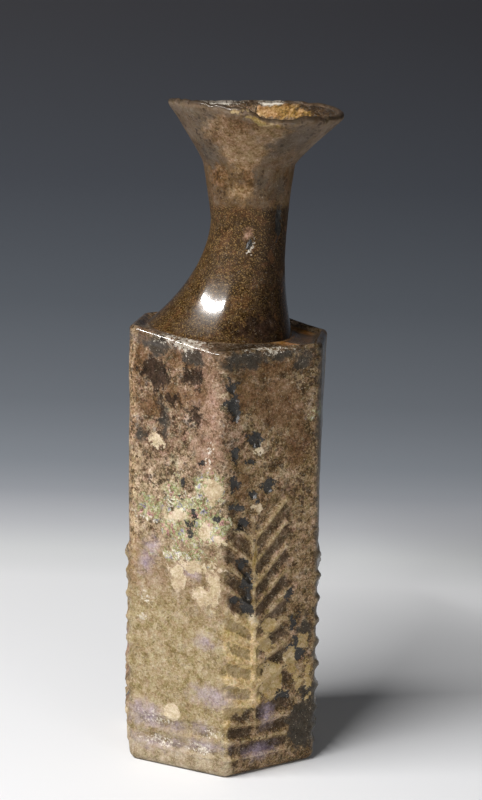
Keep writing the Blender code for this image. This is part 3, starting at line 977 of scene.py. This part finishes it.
# %% Fields of spots
SPOTTED = (
    # kind, its spots in front and on the neck, then for the sides that the photograph doesn't show:
    # seed, count, least and most half width, least and most half height
    ("bare", BARE_SPOTS, NECK_BARE, 11, 46, (0.9, 3.4), (1, 4)),
    ("stain", STAIN_SPOTS, NECK_STAIN, 12, 9, (2, 5), (2.5, 6)),
    ("slate", SLATE_SPOTS, (), 13, 14, (2, 6), (2, 7)),
    ("flake", FLAKE_SPOTS, (), 14, 22, (1.2, 4), (1.2, 4.5)),
    ("crust", CRUST_SPOTS, (), 15, 20, (1.5, 4), (2, 6)),
    ("shimmer", SHIMMER_SPOTS, (), 16, 12, (4, 9), (3, 8)),
    ("blush", BLUSH_SPOTS, NECK_BLUSH, 17, 6, (4, 7), (5, 12)),
    ("lilac", LILAC_SPOTS, (), 18, 12, (2, 5), (1, 3)),
    ("frost_and_painted_glints", FROST_AND_RIM_HIGHLIGHT_SPOTS, (), 19, 10, (3, 7), (1.4, 2.2)),
    ("rust", RUST_SPOTS, NECK_RUST, 20, 12, (2, 6), (2, 6)),
    ("smoke", (), NECK_SMOKE, 0, 0, (), ()),
    ("tawny", (), NECK_TAWNY, 0, 0, (), ()),
)
DISC_WARP = 0.3


def turned_field(spots, level, where):
    """A field of spots that are given in degrees around the neck."""
    placed = [(NECK_MM_PER_DEGREE * turn, high, NECK_MM_PER_DEGREE * half, rise)
              for turn, high, half, rise in spots]
    return np.where(where, spot_field(NECK_PLACE, level, placed), -FAR)


def spotted_fields():
    fields = {}
    for kind, front, on_neck, seed, count, widths, heights in SPOTTED:
        spots = front + scattered(seed, count, widths, heights)
        on_body = np.where(ON_BODY, spot_field(BODY_PLACE, LEVEL, spots), -FAR)
        fields[kind] = np.maximum(on_body, turned_field(on_neck, LEVEL, ON_NECK))
    specks = turned_field(NECK_FROST, LEVEL, ON_NECK)
    # the lip's spots are painted glints
    painted_lip_glints = turned_field(LIP_PAINTED_GLINTS, BELOW_LIP, ~ON_BODY)
    fields["frost_and_painted_glints"] = np.maximum(fields["frost_and_painted_glints"] - FROST_THIN, np.maximum(specks, painted_lip_glints))
    fields["crust"] = np.maximum(fields["crust"], turned_field(LIP_CRUST, BELOW_LIP, ~ON_BODY))
    disc = spot_field(AROUND + DISC_WARP * WARP_SIDE, HEIGHT + DISC_WARP * WARP_UP, (ROUND_SPOT,))
    fields["disc"] = np.where(ON_BODY, disc, -FAR)
    # painted light inside the funnel
    fields["amber_painted_light"] = np.where(INSIDE, spot_field(NECK_PLACE, LEVEL, AMBER_PAINTED_LIGHT_SPOTS), -FAR)
    return fields


FIELDS = spotted_fields()
print("fields of spots:", ", ".join(FIELDS))

# %% Fields of zones
# A band starts and ends at two places and eases in and out. An edge has one place and eases over a width.
DARK_EDGE = 0.8
GLASSY_WIDTH = 11.5
GLASSY_BAND = (20, 58, 4, 5)
UPPER_WIDTH = 6.5
UPPER_BAND = (110, 121, 2, 2)
DARK_SOFT = 2.2
DARK_WAVE = 1.5
HIDDEN_WAVE = 1.6
HIDDEN_EDGE = (33, 6)
GOLD_TOP = (67, 18)
GOLD_WAVE = 6
CALM_TOP = (88, 16)
CALM_WAVE = 8
GLOW_EDGE = (-1.0, 2.5)
FOOT_TOP = (9.5, 4)
LEFT_EDGE_BAND = (-42, -31.5, 4, 2.5)
LEFT_EDGE_FOOT = (56, 12)
GLOSS_BAND = (33.8, 68, 2, 8)
RIM_EDGE = (140.6, 1.0)
# The next band places a painted glow on the shoulder, for light seen through the glass.
SHOULDER_GLOW_BAND = (22, 92, 10, 10)
# The next band places painted shade in the recess between the rim and the neck.
RECESS_SHADE_BAND = (-6, 30, 8, 8)
SMOOTH_TOP = (165, 7)
# The next two bands place painted shade on the right of the neck, away from the light.
NECK_SHADE_EDGE = (3, 9)
NECK_SHADE_TOP = (-28, 3)
LIP_EDGE = (-1.5, 1.0)
MOUTH_FOOT = (203, 3)
MOUTH_GAP = (25, 42, 3, 3)


def rise(value, start, over):
    """From 0 at the start up to 1."""
    return ease((value - start) / over)


def fall(value, end, over):
    """From 1 down to 0 at the end."""
    return ease((end - value) / over)


def band(value, start, end, over_start, over_end):
    return rise(value, start, over_start) * fall(value, end, over_end)


def dark_side():
    """Where the crust is dark: the right panel, but not the glassy gold place left of its trunk."""
    edge = DARK_EDGE + GLASSY_WIDTH * band(LEVEL, *GLASSY_BAND)
    edge = edge + UPPER_WIDTH * band(LEVEL, *UPPER_BAND) + DARK_WAVE * PATCH
    front = rise(BODY_PLACE, edge, DARK_SOFT)
    hidden = ease(0.5 + HIDDEN_WAVE * PATCH)
    return mix(front, hidden, rise(np.abs(AROUND), *HIDDEN_EDGE)) * ON_BODY


def zone_fields():
    dark = dark_side()
    light = (1 - dark) * ON_BODY
    gold = fall(LEVEL + GOLD_WAVE * PATCH, *GOLD_TOP) * light
    return {
        "relief": RELIEF,
        "dark_side": dark,
        "gold": gold,
        "calm": fall(LEVEL + CALM_WAVE * PATCH, *CALM_TOP) * light,
        "glow": rise(BODY_PLACE, *GLOW_EDGE) * gold,
        "foot": fall(LEVEL, *FOOT_TOP) * light,
        "left_edge": band(BODY_PLACE, *LEFT_EDGE_BAND) * rise(LEVEL, *LEFT_EDGE_FOOT) * ON_BODY,
        "side_gloss": band(BODY_PLACE, *GLOSS_BAND) * ON_BODY,
        "rim": rise(HEIGHT, *RIM_EDGE) * ON_BODY,
        # painted light: a glow on the right of the shoulder, for light seen through the glass
        "shoulder": band(AROUND, *SHOULDER_GLOW_BAND) * ON_SHOULDER,
        # painted shade: darker in the recess between the rim and the neck
        "recess_painted_shade": band(AROUND, *RECESS_SHADE_BAND) * ON_SHOULDER,
        "neck": ON_NECK.astype(float),
        "neck_smooth": fall(LEVEL, *SMOOTH_TOP) * ON_NECK,
        # painted shade: the neck darker towards its right, away from the light
        "neck_painted_shade": rise(NECK_PLACE, *NECK_SHADE_EDGE) * fall(BELOW_LIP + WARP_UP, *NECK_SHADE_TOP) * ON_NECK,
        "inside": INSIDE.astype(float),
        "lip": rise(BELOW_LIP, *LIP_EDGE) * ~ON_BODY,
        "mouth": rise(LEVEL, *MOUTH_FOOT) * INSIDE * (1 - band(NECK_AROUND, *MOUTH_GAP)),
    }


FIELDS.update(zone_fields())
print("fields in all:", len(FIELDS))

# %% [markdown]
# ## Pits, swellings and sunken spots
# The wall isn't a perfect plane: it swells and sinks by a quarter of a millimetre, the crust is rough, and
# the bare spots lie a little lower because a flake of crust is gone. Each point is moved along the way out
# of the surface there, which is found from its neighbours on the grid.

# %% Fine relief of the weathering
SWELL = 0.00022
GRAIN = 0.00006
BARE_DEPTH = 0.00022
STAIN_DEPTH = 0.00045
RIDGE_WEAR = 0.00030
NECK_POLISH = 0.85
FLAKE_RISE = 0.00014
RAGGED = 0.8
# noise to the metre, seed, octaves
SWELL_NOISE = (70, 4.0, 2)
GRAIN_NOISE = (900, 9.0, 2)
RAGGED_NOISE = (420, 6.0, 3)
WEAR_NOISE = (210, 5.0, 2)
# over how many millimetres each step eases, and how high the standing edge stays untouched
BARE_SLOPE = 0.5
STAIN_SLOPE = 3.0
FLAKE_SLOPE = 0.4
DISC_SLOPE = 0.3
STANDING_EDGE = 1.0


def ways_out(surface):
    """Normals of the grid, from the differences between neighbours."""
    around = np.roll(surface, -1, axis=1) - np.roll(surface, 1, axis=1)
    along = np.gradient(surface, axis=0)
    normal = np.cross(around, along)
    length = np.linalg.norm(normal, axis=2, keepdims=True)
    return normal / np.maximum(length, 1e-12)


def weathered(surface):
    swell = noise_over(surface, *SWELL_NOISE)
    grain = noise_over(surface, *GRAIN_NOISE)
    edge = RAGGED * noise_over(surface, *RAGGED_NOISE)
    rough = 1 - NECK_POLISH * FIELDS["neck_smooth"]
    moved = (SWELL * swell + GRAIN * grain) * rough
    moved += RIDGE_WEAR * RELIEF * noise_over(surface, *WEAR_NOISE)
    moved -= BARE_DEPTH * ease((FIELDS["bare"] + edge) / BARE_SLOPE)
    moved -= STAIN_DEPTH * ease((FIELDS["stain"] + edge) / STAIN_SLOPE)
    for kind in ("flake", "crust"):
        moved += FLAKE_RISE * ease((FIELDS[kind] + edge) / FLAKE_SLOPE)
    moved += FLAKE_RISE * ease(FIELDS["disc"] / DISC_SLOPE)
    fixed = INSIDE | (HEIGHT < STANDING_EDGE)
    moved = np.where(fixed, 0, moved)
    return surface + moved[:, :, None] * ways_out(surface)


SURFACE = weathered(SURFACE)
print("weathered by up to", round(float(np.abs(SURFACE[:, :, 2] / MM - HEIGHT).max()), 2), "mm in height")

# %% [markdown]
# ## Closing and smoothing the glass
# The points go to their places, the rings at the middle of the underside and of the inner floor are merged
# into one point each, and the faces are turned outwards. The inside gets its own material slot, because the
# weathering there is a brown film rather than a crust.

# %% Finish the mesh
SMOOTH_ANGLE = math.radians(50)
MERGE_DISTANCE = 1e-7


def place_points(tube):
    tube.data.vertices.foreach_set("co", SURFACE[RING_OF, COLUMN_OF].ravel())
    for name, field in FIELDS.items():
        attribute = tube.data.attributes.new(name, "FLOAT", "POINT")
        attribute.data.foreach_set("value", field[RING_OF, COLUMN_OF].astype(np.float32))
    tube.data.update()


def close_ends(tube):
    deselect_all()
    tube.select_set(True)
    bpy.context.view_layer.objects.active = tube
    bpy.ops.object.mode_set(mode="EDIT")
    bpy.ops.mesh.select_all(action="SELECT")
    bpy.ops.mesh.remove_doubles(threshold=MERGE_DISTANCE)
    bpy.ops.mesh.select_all(action="SELECT")
    bpy.ops.mesh.normals_make_consistent(inside=False)
    bpy.ops.object.mode_set(mode="OBJECT")


place_points(bottle)
close_ends(bottle)
deselect_all()
bottle.select_set(True)
bpy.ops.object.shade_smooth_by_angle(angle=SMOOTH_ANGLE)
print("faces", len(bottle.data.polygons))

# %% [markdown]
# ## Frayed edges, grit, pits and films
# Four effects come back in every layer. A frayed mask turns a field of millimetres into a spot with a ragged
# edge. Grit makes a plain colour lighter, darker and warmer from grain to grain. Pits are small round cells
# of different sizes. The film is the thin flaking skin that splits light into pink, gold, green and lilac.

# %% Node groups
FLOAT = "NodeSocketFloat"
COLOUR = "NodeSocketColor"
GREY = (0.5, 0.5, 0.5, 1)
LEAST_BRIGHT = 0.22
PATCHY_SHARE = 0.17
DRIFT_SHARE = 0.37
PIT_BEND = (0.0008, 0.0008, 0.0008)
PIT_CROWD = (0.36, 0.62)
FILM_STOPS = (
    (0.32, (0.06, 0.04, 0.02, 1)), (0.38, (0.44, 0.18, 0.22, 1)), (0.42, (0.46, 0.34, 0.19, 1)),
    (0.47, (0.20, 0.15, 0.09, 1)), (0.51, (0.28, 0.38, 0.13, 1)), (0.56, (0.56, 0.46, 0.32, 1)),
    (0.61, (0.19, 0.26, 0.28, 1)), (0.69, (0.43, 0.23, 0.43, 1)),
)


def centred(tree, scale, detail, roughness, strength):
    """Noise about zero, made stronger."""
    return (object_noise(tree, scale, detail, roughness) - 0.5) * strength


def new_group(name, inputs, outputs):
    """A node group, the values given to it, and the sockets of what it makes."""
    tree = bpy.data.node_groups.new(name, "ShaderNodeTree")
    for socket, kind, value in inputs:
        tree.interface.new_socket(socket, in_out="INPUT", socket_type=kind).default_value = value
    for socket, kind in outputs:
        tree.interface.new_socket(socket, in_out="OUTPUT", socket_type=kind)
    given = {socket.name: Value(tree, socket) for socket in tree.nodes.new("NodeGroupInput").outputs}
    return tree, given, tree.nodes.new("NodeGroupOutput").inputs


def use_group(tree, group, inputs):
    node = add_node(tree, "ShaderNodeGroup", inputs, node_tree=group)
    return {socket.name: Value(tree, socket) for socket in node.outputs}


def frayed_group():
    inputs = (("Field", FLOAT, 0.0), ("Fray", FLOAT, 1.0), ("Size", FLOAT, 500.0), ("Soft", FLOAT, 0.15))
    tree, given, made = new_group("frayed mask", inputs, (("Mask", FLOAT),))
    wander = centred(tree, given["Size"], 6.0, 0.72, given["Fray"])
    put(tree, made["Mask"], ramp(given["Field"] + wander, given["Soft"] * -1.0, given["Soft"]))
    return tree


def grit_group():
    inputs = (
        ("Color", COLOUR, GREY), ("Size", FLOAT, 1500.0), ("Contrast", FLOAT, 1.0), ("Tint", FLOAT, 0.06),
    )
    tree, given, made = new_group("grit", inputs, (("Color", COLOUR), ("Value", FLOAT)))
    fine = centred(tree, given["Size"], 4.0, 0.80, 6.0)
    value = fine + centred(tree, given["Size"] * PATCHY_SHARE, 5.0, 0.75, 7.0)
    drift = centred(tree, given["Size"] * DRIFT_SHARE, 3.0, 0.6, given["Tint"])
    put(tree, made["Value"], value)
    put(tree, made["Color"], output(tree, "ShaderNodeHueSaturation", "Color", {
        "Hue": drift + 0.5, "Saturation": value * -0.18 + 1.0, "Color": given["Color"],
        "Value": larger(value * given["Contrast"] + 1.0, LEAST_BRIGHT),
    }))
    return tree


def pits_group():
    inputs = (("Size", FLOAT, 900.0), ("Amount", FLOAT, 0.5))
    tree, given, made = new_group("pits", inputs, (("Mask", FLOAT),))
    place = object_place(tree)
    wander = output(tree, "ShaderNodeTexNoise", "Color", {"Vector": place, "Scale": given["Size"] * 1.3})
    terms = {0: wander, 1: PIT_BEND, 2: place}
    bent = output(tree, "ShaderNodeVectorMath", 0, terms, operation="MULTIPLY_ADD")
    cells = add_node(tree, "ShaderNodeTexVoronoi", {"Vector": bent, "Scale": given["Size"]}).outputs
    chance = output(tree, "ShaderNodeSeparateColor", 0, {"Color": Value(tree, cells["Color"])})
    crowd = ramp(object_noise(tree, given["Size"] * 0.2, 3.0, 0.6), *PIT_CROWD)
    reach = calculate("POWER", chance, 2.0) * given["Amount"] * crowd
    put(tree, made["Mask"], 1.0 - ramp(Value(tree, cells["Distance"]), reach * 0.55, reach + 0.001))
    return tree


def film_group():
    tree, given, made = new_group("film", (("Size", FLOAT, 260.0),), (("Color", COLOUR),))
    put(tree, made["Color"], colour_stops(object_noise(tree, given["Size"], 5.0, 0.7), FILM_STOPS))
    return tree


FRAYED = frayed_group()
GRIT = grit_group()
PITS = pits_group()
FILM = film_group()
print("node groups", [group.name for group in bpy.data.node_groups])

# %% [markdown]
# ## The weathered outside
# The crust is built in layers from the inside out, as it grew: tan and grey crust with brown pits, dark
# dirt in the hollows of the relief, pale ridges, shimmering films, stains, and cream flakes on top. Over
# them come the bare spots, where everything has flaked off down to the dark glass, and the clean tan crust
# that stayed between them near the foot.

# %% Colours of the outside
UPPER_TAN = (0.168, 0.102, 0.057, 1)
MIDDLE_TAN = (0.292, 0.208, 0.124, 1)
LOW_GOLD = (0.330, 0.252, 0.136, 1)
DARK_TAN = (0.180, 0.113, 0.052, 1)
RIDGE_TAN = (0.330, 0.240, 0.125, 1)
DIRT = (0.032, 0.018, 0.008, 1)
OLIVE = (0.190, 0.135, 0.050, 1)
STAIN = (0.020, 0.010, 0.005, 1)
PIT_BROWN = (0.034, 0.018, 0.008, 1)
CREAM = (0.530, 0.425, 0.285, 1)
SLATE = (0.032, 0.028, 0.022, 1)
BLACK_GLASS = (0.014, 0.013, 0.011, 1)
BLUSH = (0.290, 0.178, 0.118, 1)
LILAC = (0.400, 0.330, 0.440, 1)
CRUST_TAN = (0.350, 0.250, 0.112, 1)
SPECK = (0.620, 0.540, 0.420, 1)
NECK_BROWN = (0.034, 0.017, 0.005, 1)
NECK_HAZE = (0.082, 0.050, 0.025, 1)
FUNNEL_GREY = (0.135, 0.093, 0.058, 1)
LIP_BROWN = (0.020, 0.012, 0.006, 1)
TAWNY = (0.250, 0.155, 0.076, 1)
SMOKE = (0.055, 0.043, 0.032, 1)
# painted shade for the right of the neck
NECK_PAINTED_SHADE = (0.012, 0.005, 0.0015, 1)
NECK_RUDDY = (0.110, 0.046, 0.019, 1)
RUST = (0.115, 0.056, 0.020, 1)
# painted light: the glow of light seen through the glass on the shoulder
SHOULDER_PAINTED_GLOW = (0.520, 0.235, 0.050, 1)
MOUTH_TAN = (0.120, 0.073, 0.036, 1)
GOLD_GRAIN = (0.330, 0.210, 0.080, 1)
# white of the frost crust, also used for painted glints on the lip and a painted highlight on the rim
FROST_AND_PAINTED_GLINT = (0.720, 0.660, 0.560, 1)
GOLD_GLOW = (0.590, 0.430, 0.210, 1)
FOOT_PALE = (0.385, 0.305, 0.200, 1)
EDGE_ORANGE = (0.370, 0.240, 0.120, 1)

# %% Bands and wavers of the outside
# Bands: where a change starts and is full. Wavers: noise to the metre, detail, roughness, strength.
UPPER_TAN_BAND = (0.095, 0.112)
DARK_TOP_BAND = (0.100, 0.128)
CLEAN_HOLLOW_BAND = (0.070, 0.088)
CREST_BAND = (0.35, 0.75)
HOLLOW_BAND = (-0.20, -0.75)
HAZE_BAND = (0.1837, 0.1855)
FUNNEL_BAND = (0.196, 0.208)
PATCH_EDGE = 0.09

TAN_WAVER = (90.0, 4.0, 0.6, 0.030)
RELIEF_WAVER = (230.0, 5.0, 0.75, 3.4)
RELIEF_GRAIN = (1100.0, 3.0, 0.7, 2.0)
HAZE_WAVER = (160.0, 3.0, 0.6, 0.0035)
FUNNEL_WAVER = (70.0, 4.0, 0.6, 0.045)
ROUGH_WAVER = (900.0, 3.0, 0.6, 0.5)
BUMP_GRAIN = (1500.0, 4.0, 0.7, 1.0)
BUMP_LUMPS = (420.0, 4.0, 0.6, 1.2)
BUMP_DISTANCE = 0.0004

ROUGHNESS = 0.50
SMOOTHED = 0.22
LEAST_ROUGHNESS = 0.12
COAT = 0.95
COAT_ROUGHNESS = 0.11
GLASS_IOR = 1.55
DULL_SPECULAR = 0.12

BODY_TONES = (
    # field, strength, colour
    ("gold", 1.0, LOW_GOLD), ("glow", 1.0, GOLD_GLOW), ("left_edge", 0.5, EDGE_ORANGE),
    ("foot", 1.0, FOOT_PALE), ("dark_side", 1.0, DARK_TAN),
)
PATCHES = (
    # colour, patches to the metre, noise above which they show, strength
    ((0.330, 0.205, 0.140, 1), 150.0, 0.54, 0.55),
    ((0.250, 0.215, 0.135, 1), 210.0, 0.55, 0.60),
    ((0.150, 0.130, 0.110, 1), 260.0, 0.57, 0.60),
    ((0.085, 0.048, 0.021, 1), 185.0, 0.57, 0.45),
    ((0.430, 0.330, 0.215, 1), 330.0, 0.58, 0.55),
)
LAYERS = (
    # field, fray in mm, size of the fray, softness in mm, strength, colour, grit contrast
    ("blush", 7.0, 300.0, 1.6, 0.75, BLUSH, 0.55),
    ("smoke", 9.0, 220.0, 2.4, 0.60, SMOKE, 0.35),
    ("tawny", 9.0, 260.0, 2.0, 0.75, TAWNY, 0.55),
    ("rust", 14.0, 480.0, 1.0, 0.70, RUST, 0.80),
    ("lilac", 7.0, 420.0, 2.8, 0.52, LILAC, 0.40),
    ("stain", 16.0, 430.0, 1.0, 0.90, STAIN, 1.00),
    ("slate", 8.0, 300.0, 0.9, 0.90, SLATE, 0.40),
    ("flake", 9.0, 420.0, 0.2, 0.95, CREAM, 0.25),
    # frost crust, with a painted highlight along the rim and painted glints on the lip
    ("frost_and_painted_glints", 14.0, 1000.0, 0.3, 0.75, FROST_AND_PAINTED_GLINT, 0.30),
    ("bare", 8.0, 520.0, 0.15, 0.96, BLACK_GLASS, 0.50),
    ("crust", 7.0, 380.0, 0.2, 0.95, CRUST_TAN, 0.30),
    ("disc", 1.2, 700.0, 0.1, 1.00, CREAM, 0.25),
)

# %% Steps of the finish
SPECKLES = {
    # noise to the metre, its detail and roughness, and where in it the specks start and are full
    "salt": (1250.0, 4.0, 0.85, 0.585, 0.62),
    "pepper": (1100.0, 4.0, 0.85, 0.565, 0.60),
    "ruddy": (260.0, 4.0, 0.70, 0.50, 0.62),
    "grains": (2100.0, 3.0, 0.85, 0.52, 0.64),
    "flecks": (900.0, 4.0, 0.85, 0.52, 0.58),
    "glints": (1300.0, 4.0, 0.85, 0.59, 0.62),
}


def attribute(tree, name):
    """One of the fields, as it was written on the points of the mesh."""
    return output(tree, "ShaderNodeAttribute", "Fac", attribute_name=name)


def speckled(tree, kind):
    scale, detail, roughness, start, full = SPECKLES[kind]
    return ramp(object_noise(tree, scale, detail, roughness), start, full)


def frayed(tree, name, fray, size, soft):
    inputs = {"Field": attribute(tree, name), "Fray": fray, "Size": size, "Soft": soft}
    return use_group(tree, FRAYED, inputs)["Mask"]


def grit(tree, colour, size, contrast, tint=0.06):
    inputs = {"Color": colour, "Size": size, "Contrast": contrast, "Tint": tint}
    return use_group(tree, GRIT, inputs)["Color"]


def pits(tree, size, amount):
    return use_group(tree, PITS, {"Size": size, "Amount": amount})["Mask"]


def bumped(tree, level, strength):
    inputs = {"Height": level, "Strength": strength, "Distance": BUMP_DISTANCE}
    return output(tree, "ShaderNodeBump", "Normal", inputs)


# %% Body
def body_colour(tree, height):
    """The crust of the body before spots and flakes."""
    raised = height + centred(tree, *TAN_WAVER)
    dark = attribute(tree, "dark_side")
    calm = attribute(tree, "calm")
    colour = blend(ramp(raised, *UPPER_TAN_BAND), MIDDLE_TAN, UPPER_TAN)
    for name, strength, tone in BODY_TONES:
        colour = blend(attribute(tree, name) * strength, colour, tone)
    colour = blend(dark * ramp(raised, *DARK_TOP_BAND) * 0.30, colour, STAIN)
    uncalm = 1.0 - larger(calm * 0.78, dark * 0.45)
    for tone, scale, start, strength in PATCHES:
        patch = ramp(object_noise(tree, scale, 5.0, 0.68), start, start + PATCH_EDGE)
        colour = blend(patch * uncalm * strength, colour, tone)
    colour = grit(tree, colour, 1500.0, 0.85 - calm * 0.50, 0.08)
    return relief_colour(tree, colour, height, dark)


def relief_colour(tree, colour, height, dark):
    """Pale worn ridges, and olive glass or dark dirt in the hollows."""
    uneven = centred(tree, *RELIEF_WAVER) + centred(tree, *RELIEF_GRAIN)
    relief = attribute(tree, "relief") + uneven
    crest = ramp(relief, *CREST_BAND) * (dark * 0.50 + 0.27)
    colour = blend(crest, colour, grit(tree, RIDGE_TAN, 1500.0, 0.40))
    hollow = ramp(relief, *HOLLOW_BAND)
    glassy = attribute(tree, "gold") * 0.60 - dark * 0.60
    colour = blend(hollow * glassy, colour, grit(tree, OLIVE, 900.0, 0.6))
    filled = 1.0 - ramp(height, *CLEAN_HOLLOW_BAND) * 0.45
    return blend(hollow * filled * (dark * 0.60 + 0.20), colour, grit(tree, DIRT, 900.0, 0.9))


# %% Neck
def neck_colour(tree, height):
    """The brown glass of the neck, painted darker on its right as shade, the haze above it and the greyer
    funnel.
    """
    neck_painted_shade = attribute(tree, "neck_painted_shade")
    ruddy = speckled(tree, "ruddy")
    grains = speckled(tree, "grains")
    brown = grit(tree, NECK_BROWN, 2400.0, 0.50, 0.05)
    # painted shade: the right of the neck darkened, and its gold grains thinned there
    brown = blend(neck_painted_shade * 0.85, brown, grit(tree, NECK_PAINTED_SHADE, 1500.0, 0.7))
    brown = blend(ruddy * 0.35, brown, NECK_RUDDY)
    brown = blend(grains * (0.65 - neck_painted_shade * 0.40), brown, GOLD_GRAIN)
    haze = grit(tree, NECK_HAZE, 900.0, 0.30, 0.04)
    haze = blend(ruddy * 0.25, haze, NECK_RUDDY)
    haze = blend(grains * 0.22, haze, GOLD_GRAIN)
    hazy = ramp(height + centred(tree, *HAZE_WAVER), *HAZE_BAND)
    wide = ramp(height + centred(tree, *FUNNEL_WAVER), *FUNNEL_BAND)
    return blend(wide, blend(hazy, brown, haze), grit(tree, FUNNEL_GREY, 900.0, 0.24, 0.05))


# %% Outside
def layered_colour(tree, colour, dots, neck):
    """Pits, specks, film and the layers of spots; also the mask of the bare spots."""
    calm = attribute(tree, "calm")
    on_body = 1.0 - neck
    colour = blend(dots * (0.75 - calm * 0.55), colour, PIT_BROWN)
    colour = blend(speckled(tree, "salt") * on_body * 0.28, colour, SPECK)
    film = grit(tree, use_group(tree, FILM, {"Size": 520.0})["Color"], 1300.0, 0.55)
    colour = blend(frayed(tree, "shimmer", 16.0, 300.0, 1.0) * 0.80, colour, film)
    masks = {}
    for name, fray, size, soft, strength, tone, contrast in LAYERS:
        masks[name] = frayed(tree, name, fray, size, soft)
        colour = blend(masks[name] * strength, colour, grit(tree, tone, 1300.0, contrast))
        if name == "slate":
            colour = blend(speckled(tree, "pepper") * on_body * (0.70 - calm * 0.50), colour, PIT_BROWN)
    return colour, masks["bare"]


def outside_material():
    material, tree, shader = new_material("weathered_crust")
    height = output(tree, "ShaderNodeSeparateXYZ", "Z", {"Vector": object_place(tree)})
    neck, gloss, rim, lip = [attribute(tree, name) for name in ("neck", "side_gloss", "rim", "lip")]
    dots = pits(tree, 850.0, 1.05)
    colour = blend(neck, body_colour(tree, height), neck_colour(tree, height))
    colour, bare = layered_colour(tree, colour, dots, neck)
    # painted light: the shoulder's amber glow
    colour = blend(attribute(tree, "shoulder") * 0.8, colour, grit(tree, SHOULDER_PAINTED_GLOW, 700.0, 0.5))
    # painted shade in the shoulder's recess, in the brown of the pits
    colour = blend(attribute(tree, "recess_painted_shade") * 0.8, colour, grit(tree, PIT_BROWN, 900.0, 0.8))
    colour = blend(pits(tree, 2300.0, 0.50) * (0.5 - neck * 0.3), colour, SPECK)
    colour = blend(gloss * 0.75, colour, grit(tree, SLATE, 500.0, 0.5))
    colour = blend(larger(lip, rim * 0.45) * 0.75, colour, grit(tree, LIP_BROWN, 1000.0, 1.5))
    put(tree, shader["Base Color"], colour)

    polished = attribute(tree, "neck_smooth")
    edge = larger(lip * (lip * lip) * 0.5, rim)
    smooth = larger(larger(larger(bare * 0.5, gloss * 0.6), edge), polished)
    rough = centred(tree, *ROUGH_WAVER) + ROUGHNESS - smooth * SMOOTHED
    put(tree, shader["Roughness"], larger(rough, LEAST_ROUGHNESS))
    put(tree, shader["Coat Weight"], smooth * COAT)
    shader["Coat Roughness"].default_value = COAT_ROUGHNESS
    shader["Coat IOR"].default_value = GLASS_IOR
    shader["Specular IOR Level"].default_value = DULL_SPECULAR

    level = centred(tree, *BUMP_GRAIN) + centred(tree, *BUMP_LUMPS) - dots * 0.5 - bare * 0.8
    still = larger(larger(neck * 0.55, gloss * 0.7), polished * 0.97)
    put(tree, shader["Normal"], bumped(tree, level * (1.0 - still), 0.8))
    return material


# %% [markdown]
# ## The brown inside
# Inside, the glass kept a smoother brown film, golden where the light falls on it through the funnel. At the
# mouth, a little crust with dark flecks and bright glints shows inside the lip.

# %% Inside
# painted light: gold for the lit patch inside and for the mouth's glints
AMBER_PAINTED_LIGHT = (0.440, 0.262, 0.105, 1)
INNER_BROWN = (0.060, 0.032, 0.012, 1)
INNER_ROUGHNESS = 0.3


def inside_material():
    material, tree, shader = new_material("brown_film_inside")
    inputs = {"Color": INNER_BROWN, "Size": 900.0, "Contrast": 0.9, "Tint": 0.06}
    brown = use_group(tree, GRIT, inputs)
    mouth = blend(attribute(tree, "mouth"), brown["Color"], grit(tree, MOUTH_TAN, 700.0, 1.1))
    mouth = blend(speckled(tree, "flecks") * 0.75, mouth, LIP_BROWN)
    mouth = blend(speckled(tree, "glints") * 0.60, mouth, AMBER_PAINTED_LIGHT)
    # painted light: the golden patch where light falls through the funnel
    colour = blend(frayed(tree, "amber_painted_light", 6.0, 380.0, 0.4), mouth, grit(tree, AMBER_PAINTED_LIGHT, 600.0, 0.6))
    colour = blend(attribute(tree, "lip") * 0.9, colour, grit(tree, LIP_BROWN, 1000.0, 1.1))
    # painted glints: white on the lip's edge
    colour = blend(frayed(tree, "frost_and_painted_glints", 2.0, 700.0, 0.4), colour, FROST_AND_PAINTED_GLINT)
    put(tree, shader["Base Color"], colour)
    shader["Roughness"].default_value = INNER_ROUGHNESS
    put(tree, shader["Normal"], bumped(tree, brown["Value"], 0.7))
    return material


def dress(tube):
    """Outside and inside materials, given by which rings a face lies on."""
    tube.data.materials.append(outside_material())
    tube.data.materials.append(inside_material())
    inner = np.zeros(len(tube.data.vertices))
    tube.data.attributes["inside"].data.foreach_get("value", inner)
    indices = [int(min(inner[i] for i in face.vertices) > 0.5) for face in tube.data.polygons]
    tube.data.polygons.foreach_set("material_index", indices)
    print("inside faces", sum(indices))


dress(bottle)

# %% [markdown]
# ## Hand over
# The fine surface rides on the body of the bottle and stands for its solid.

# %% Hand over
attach(bottle, "root")
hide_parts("bottle")
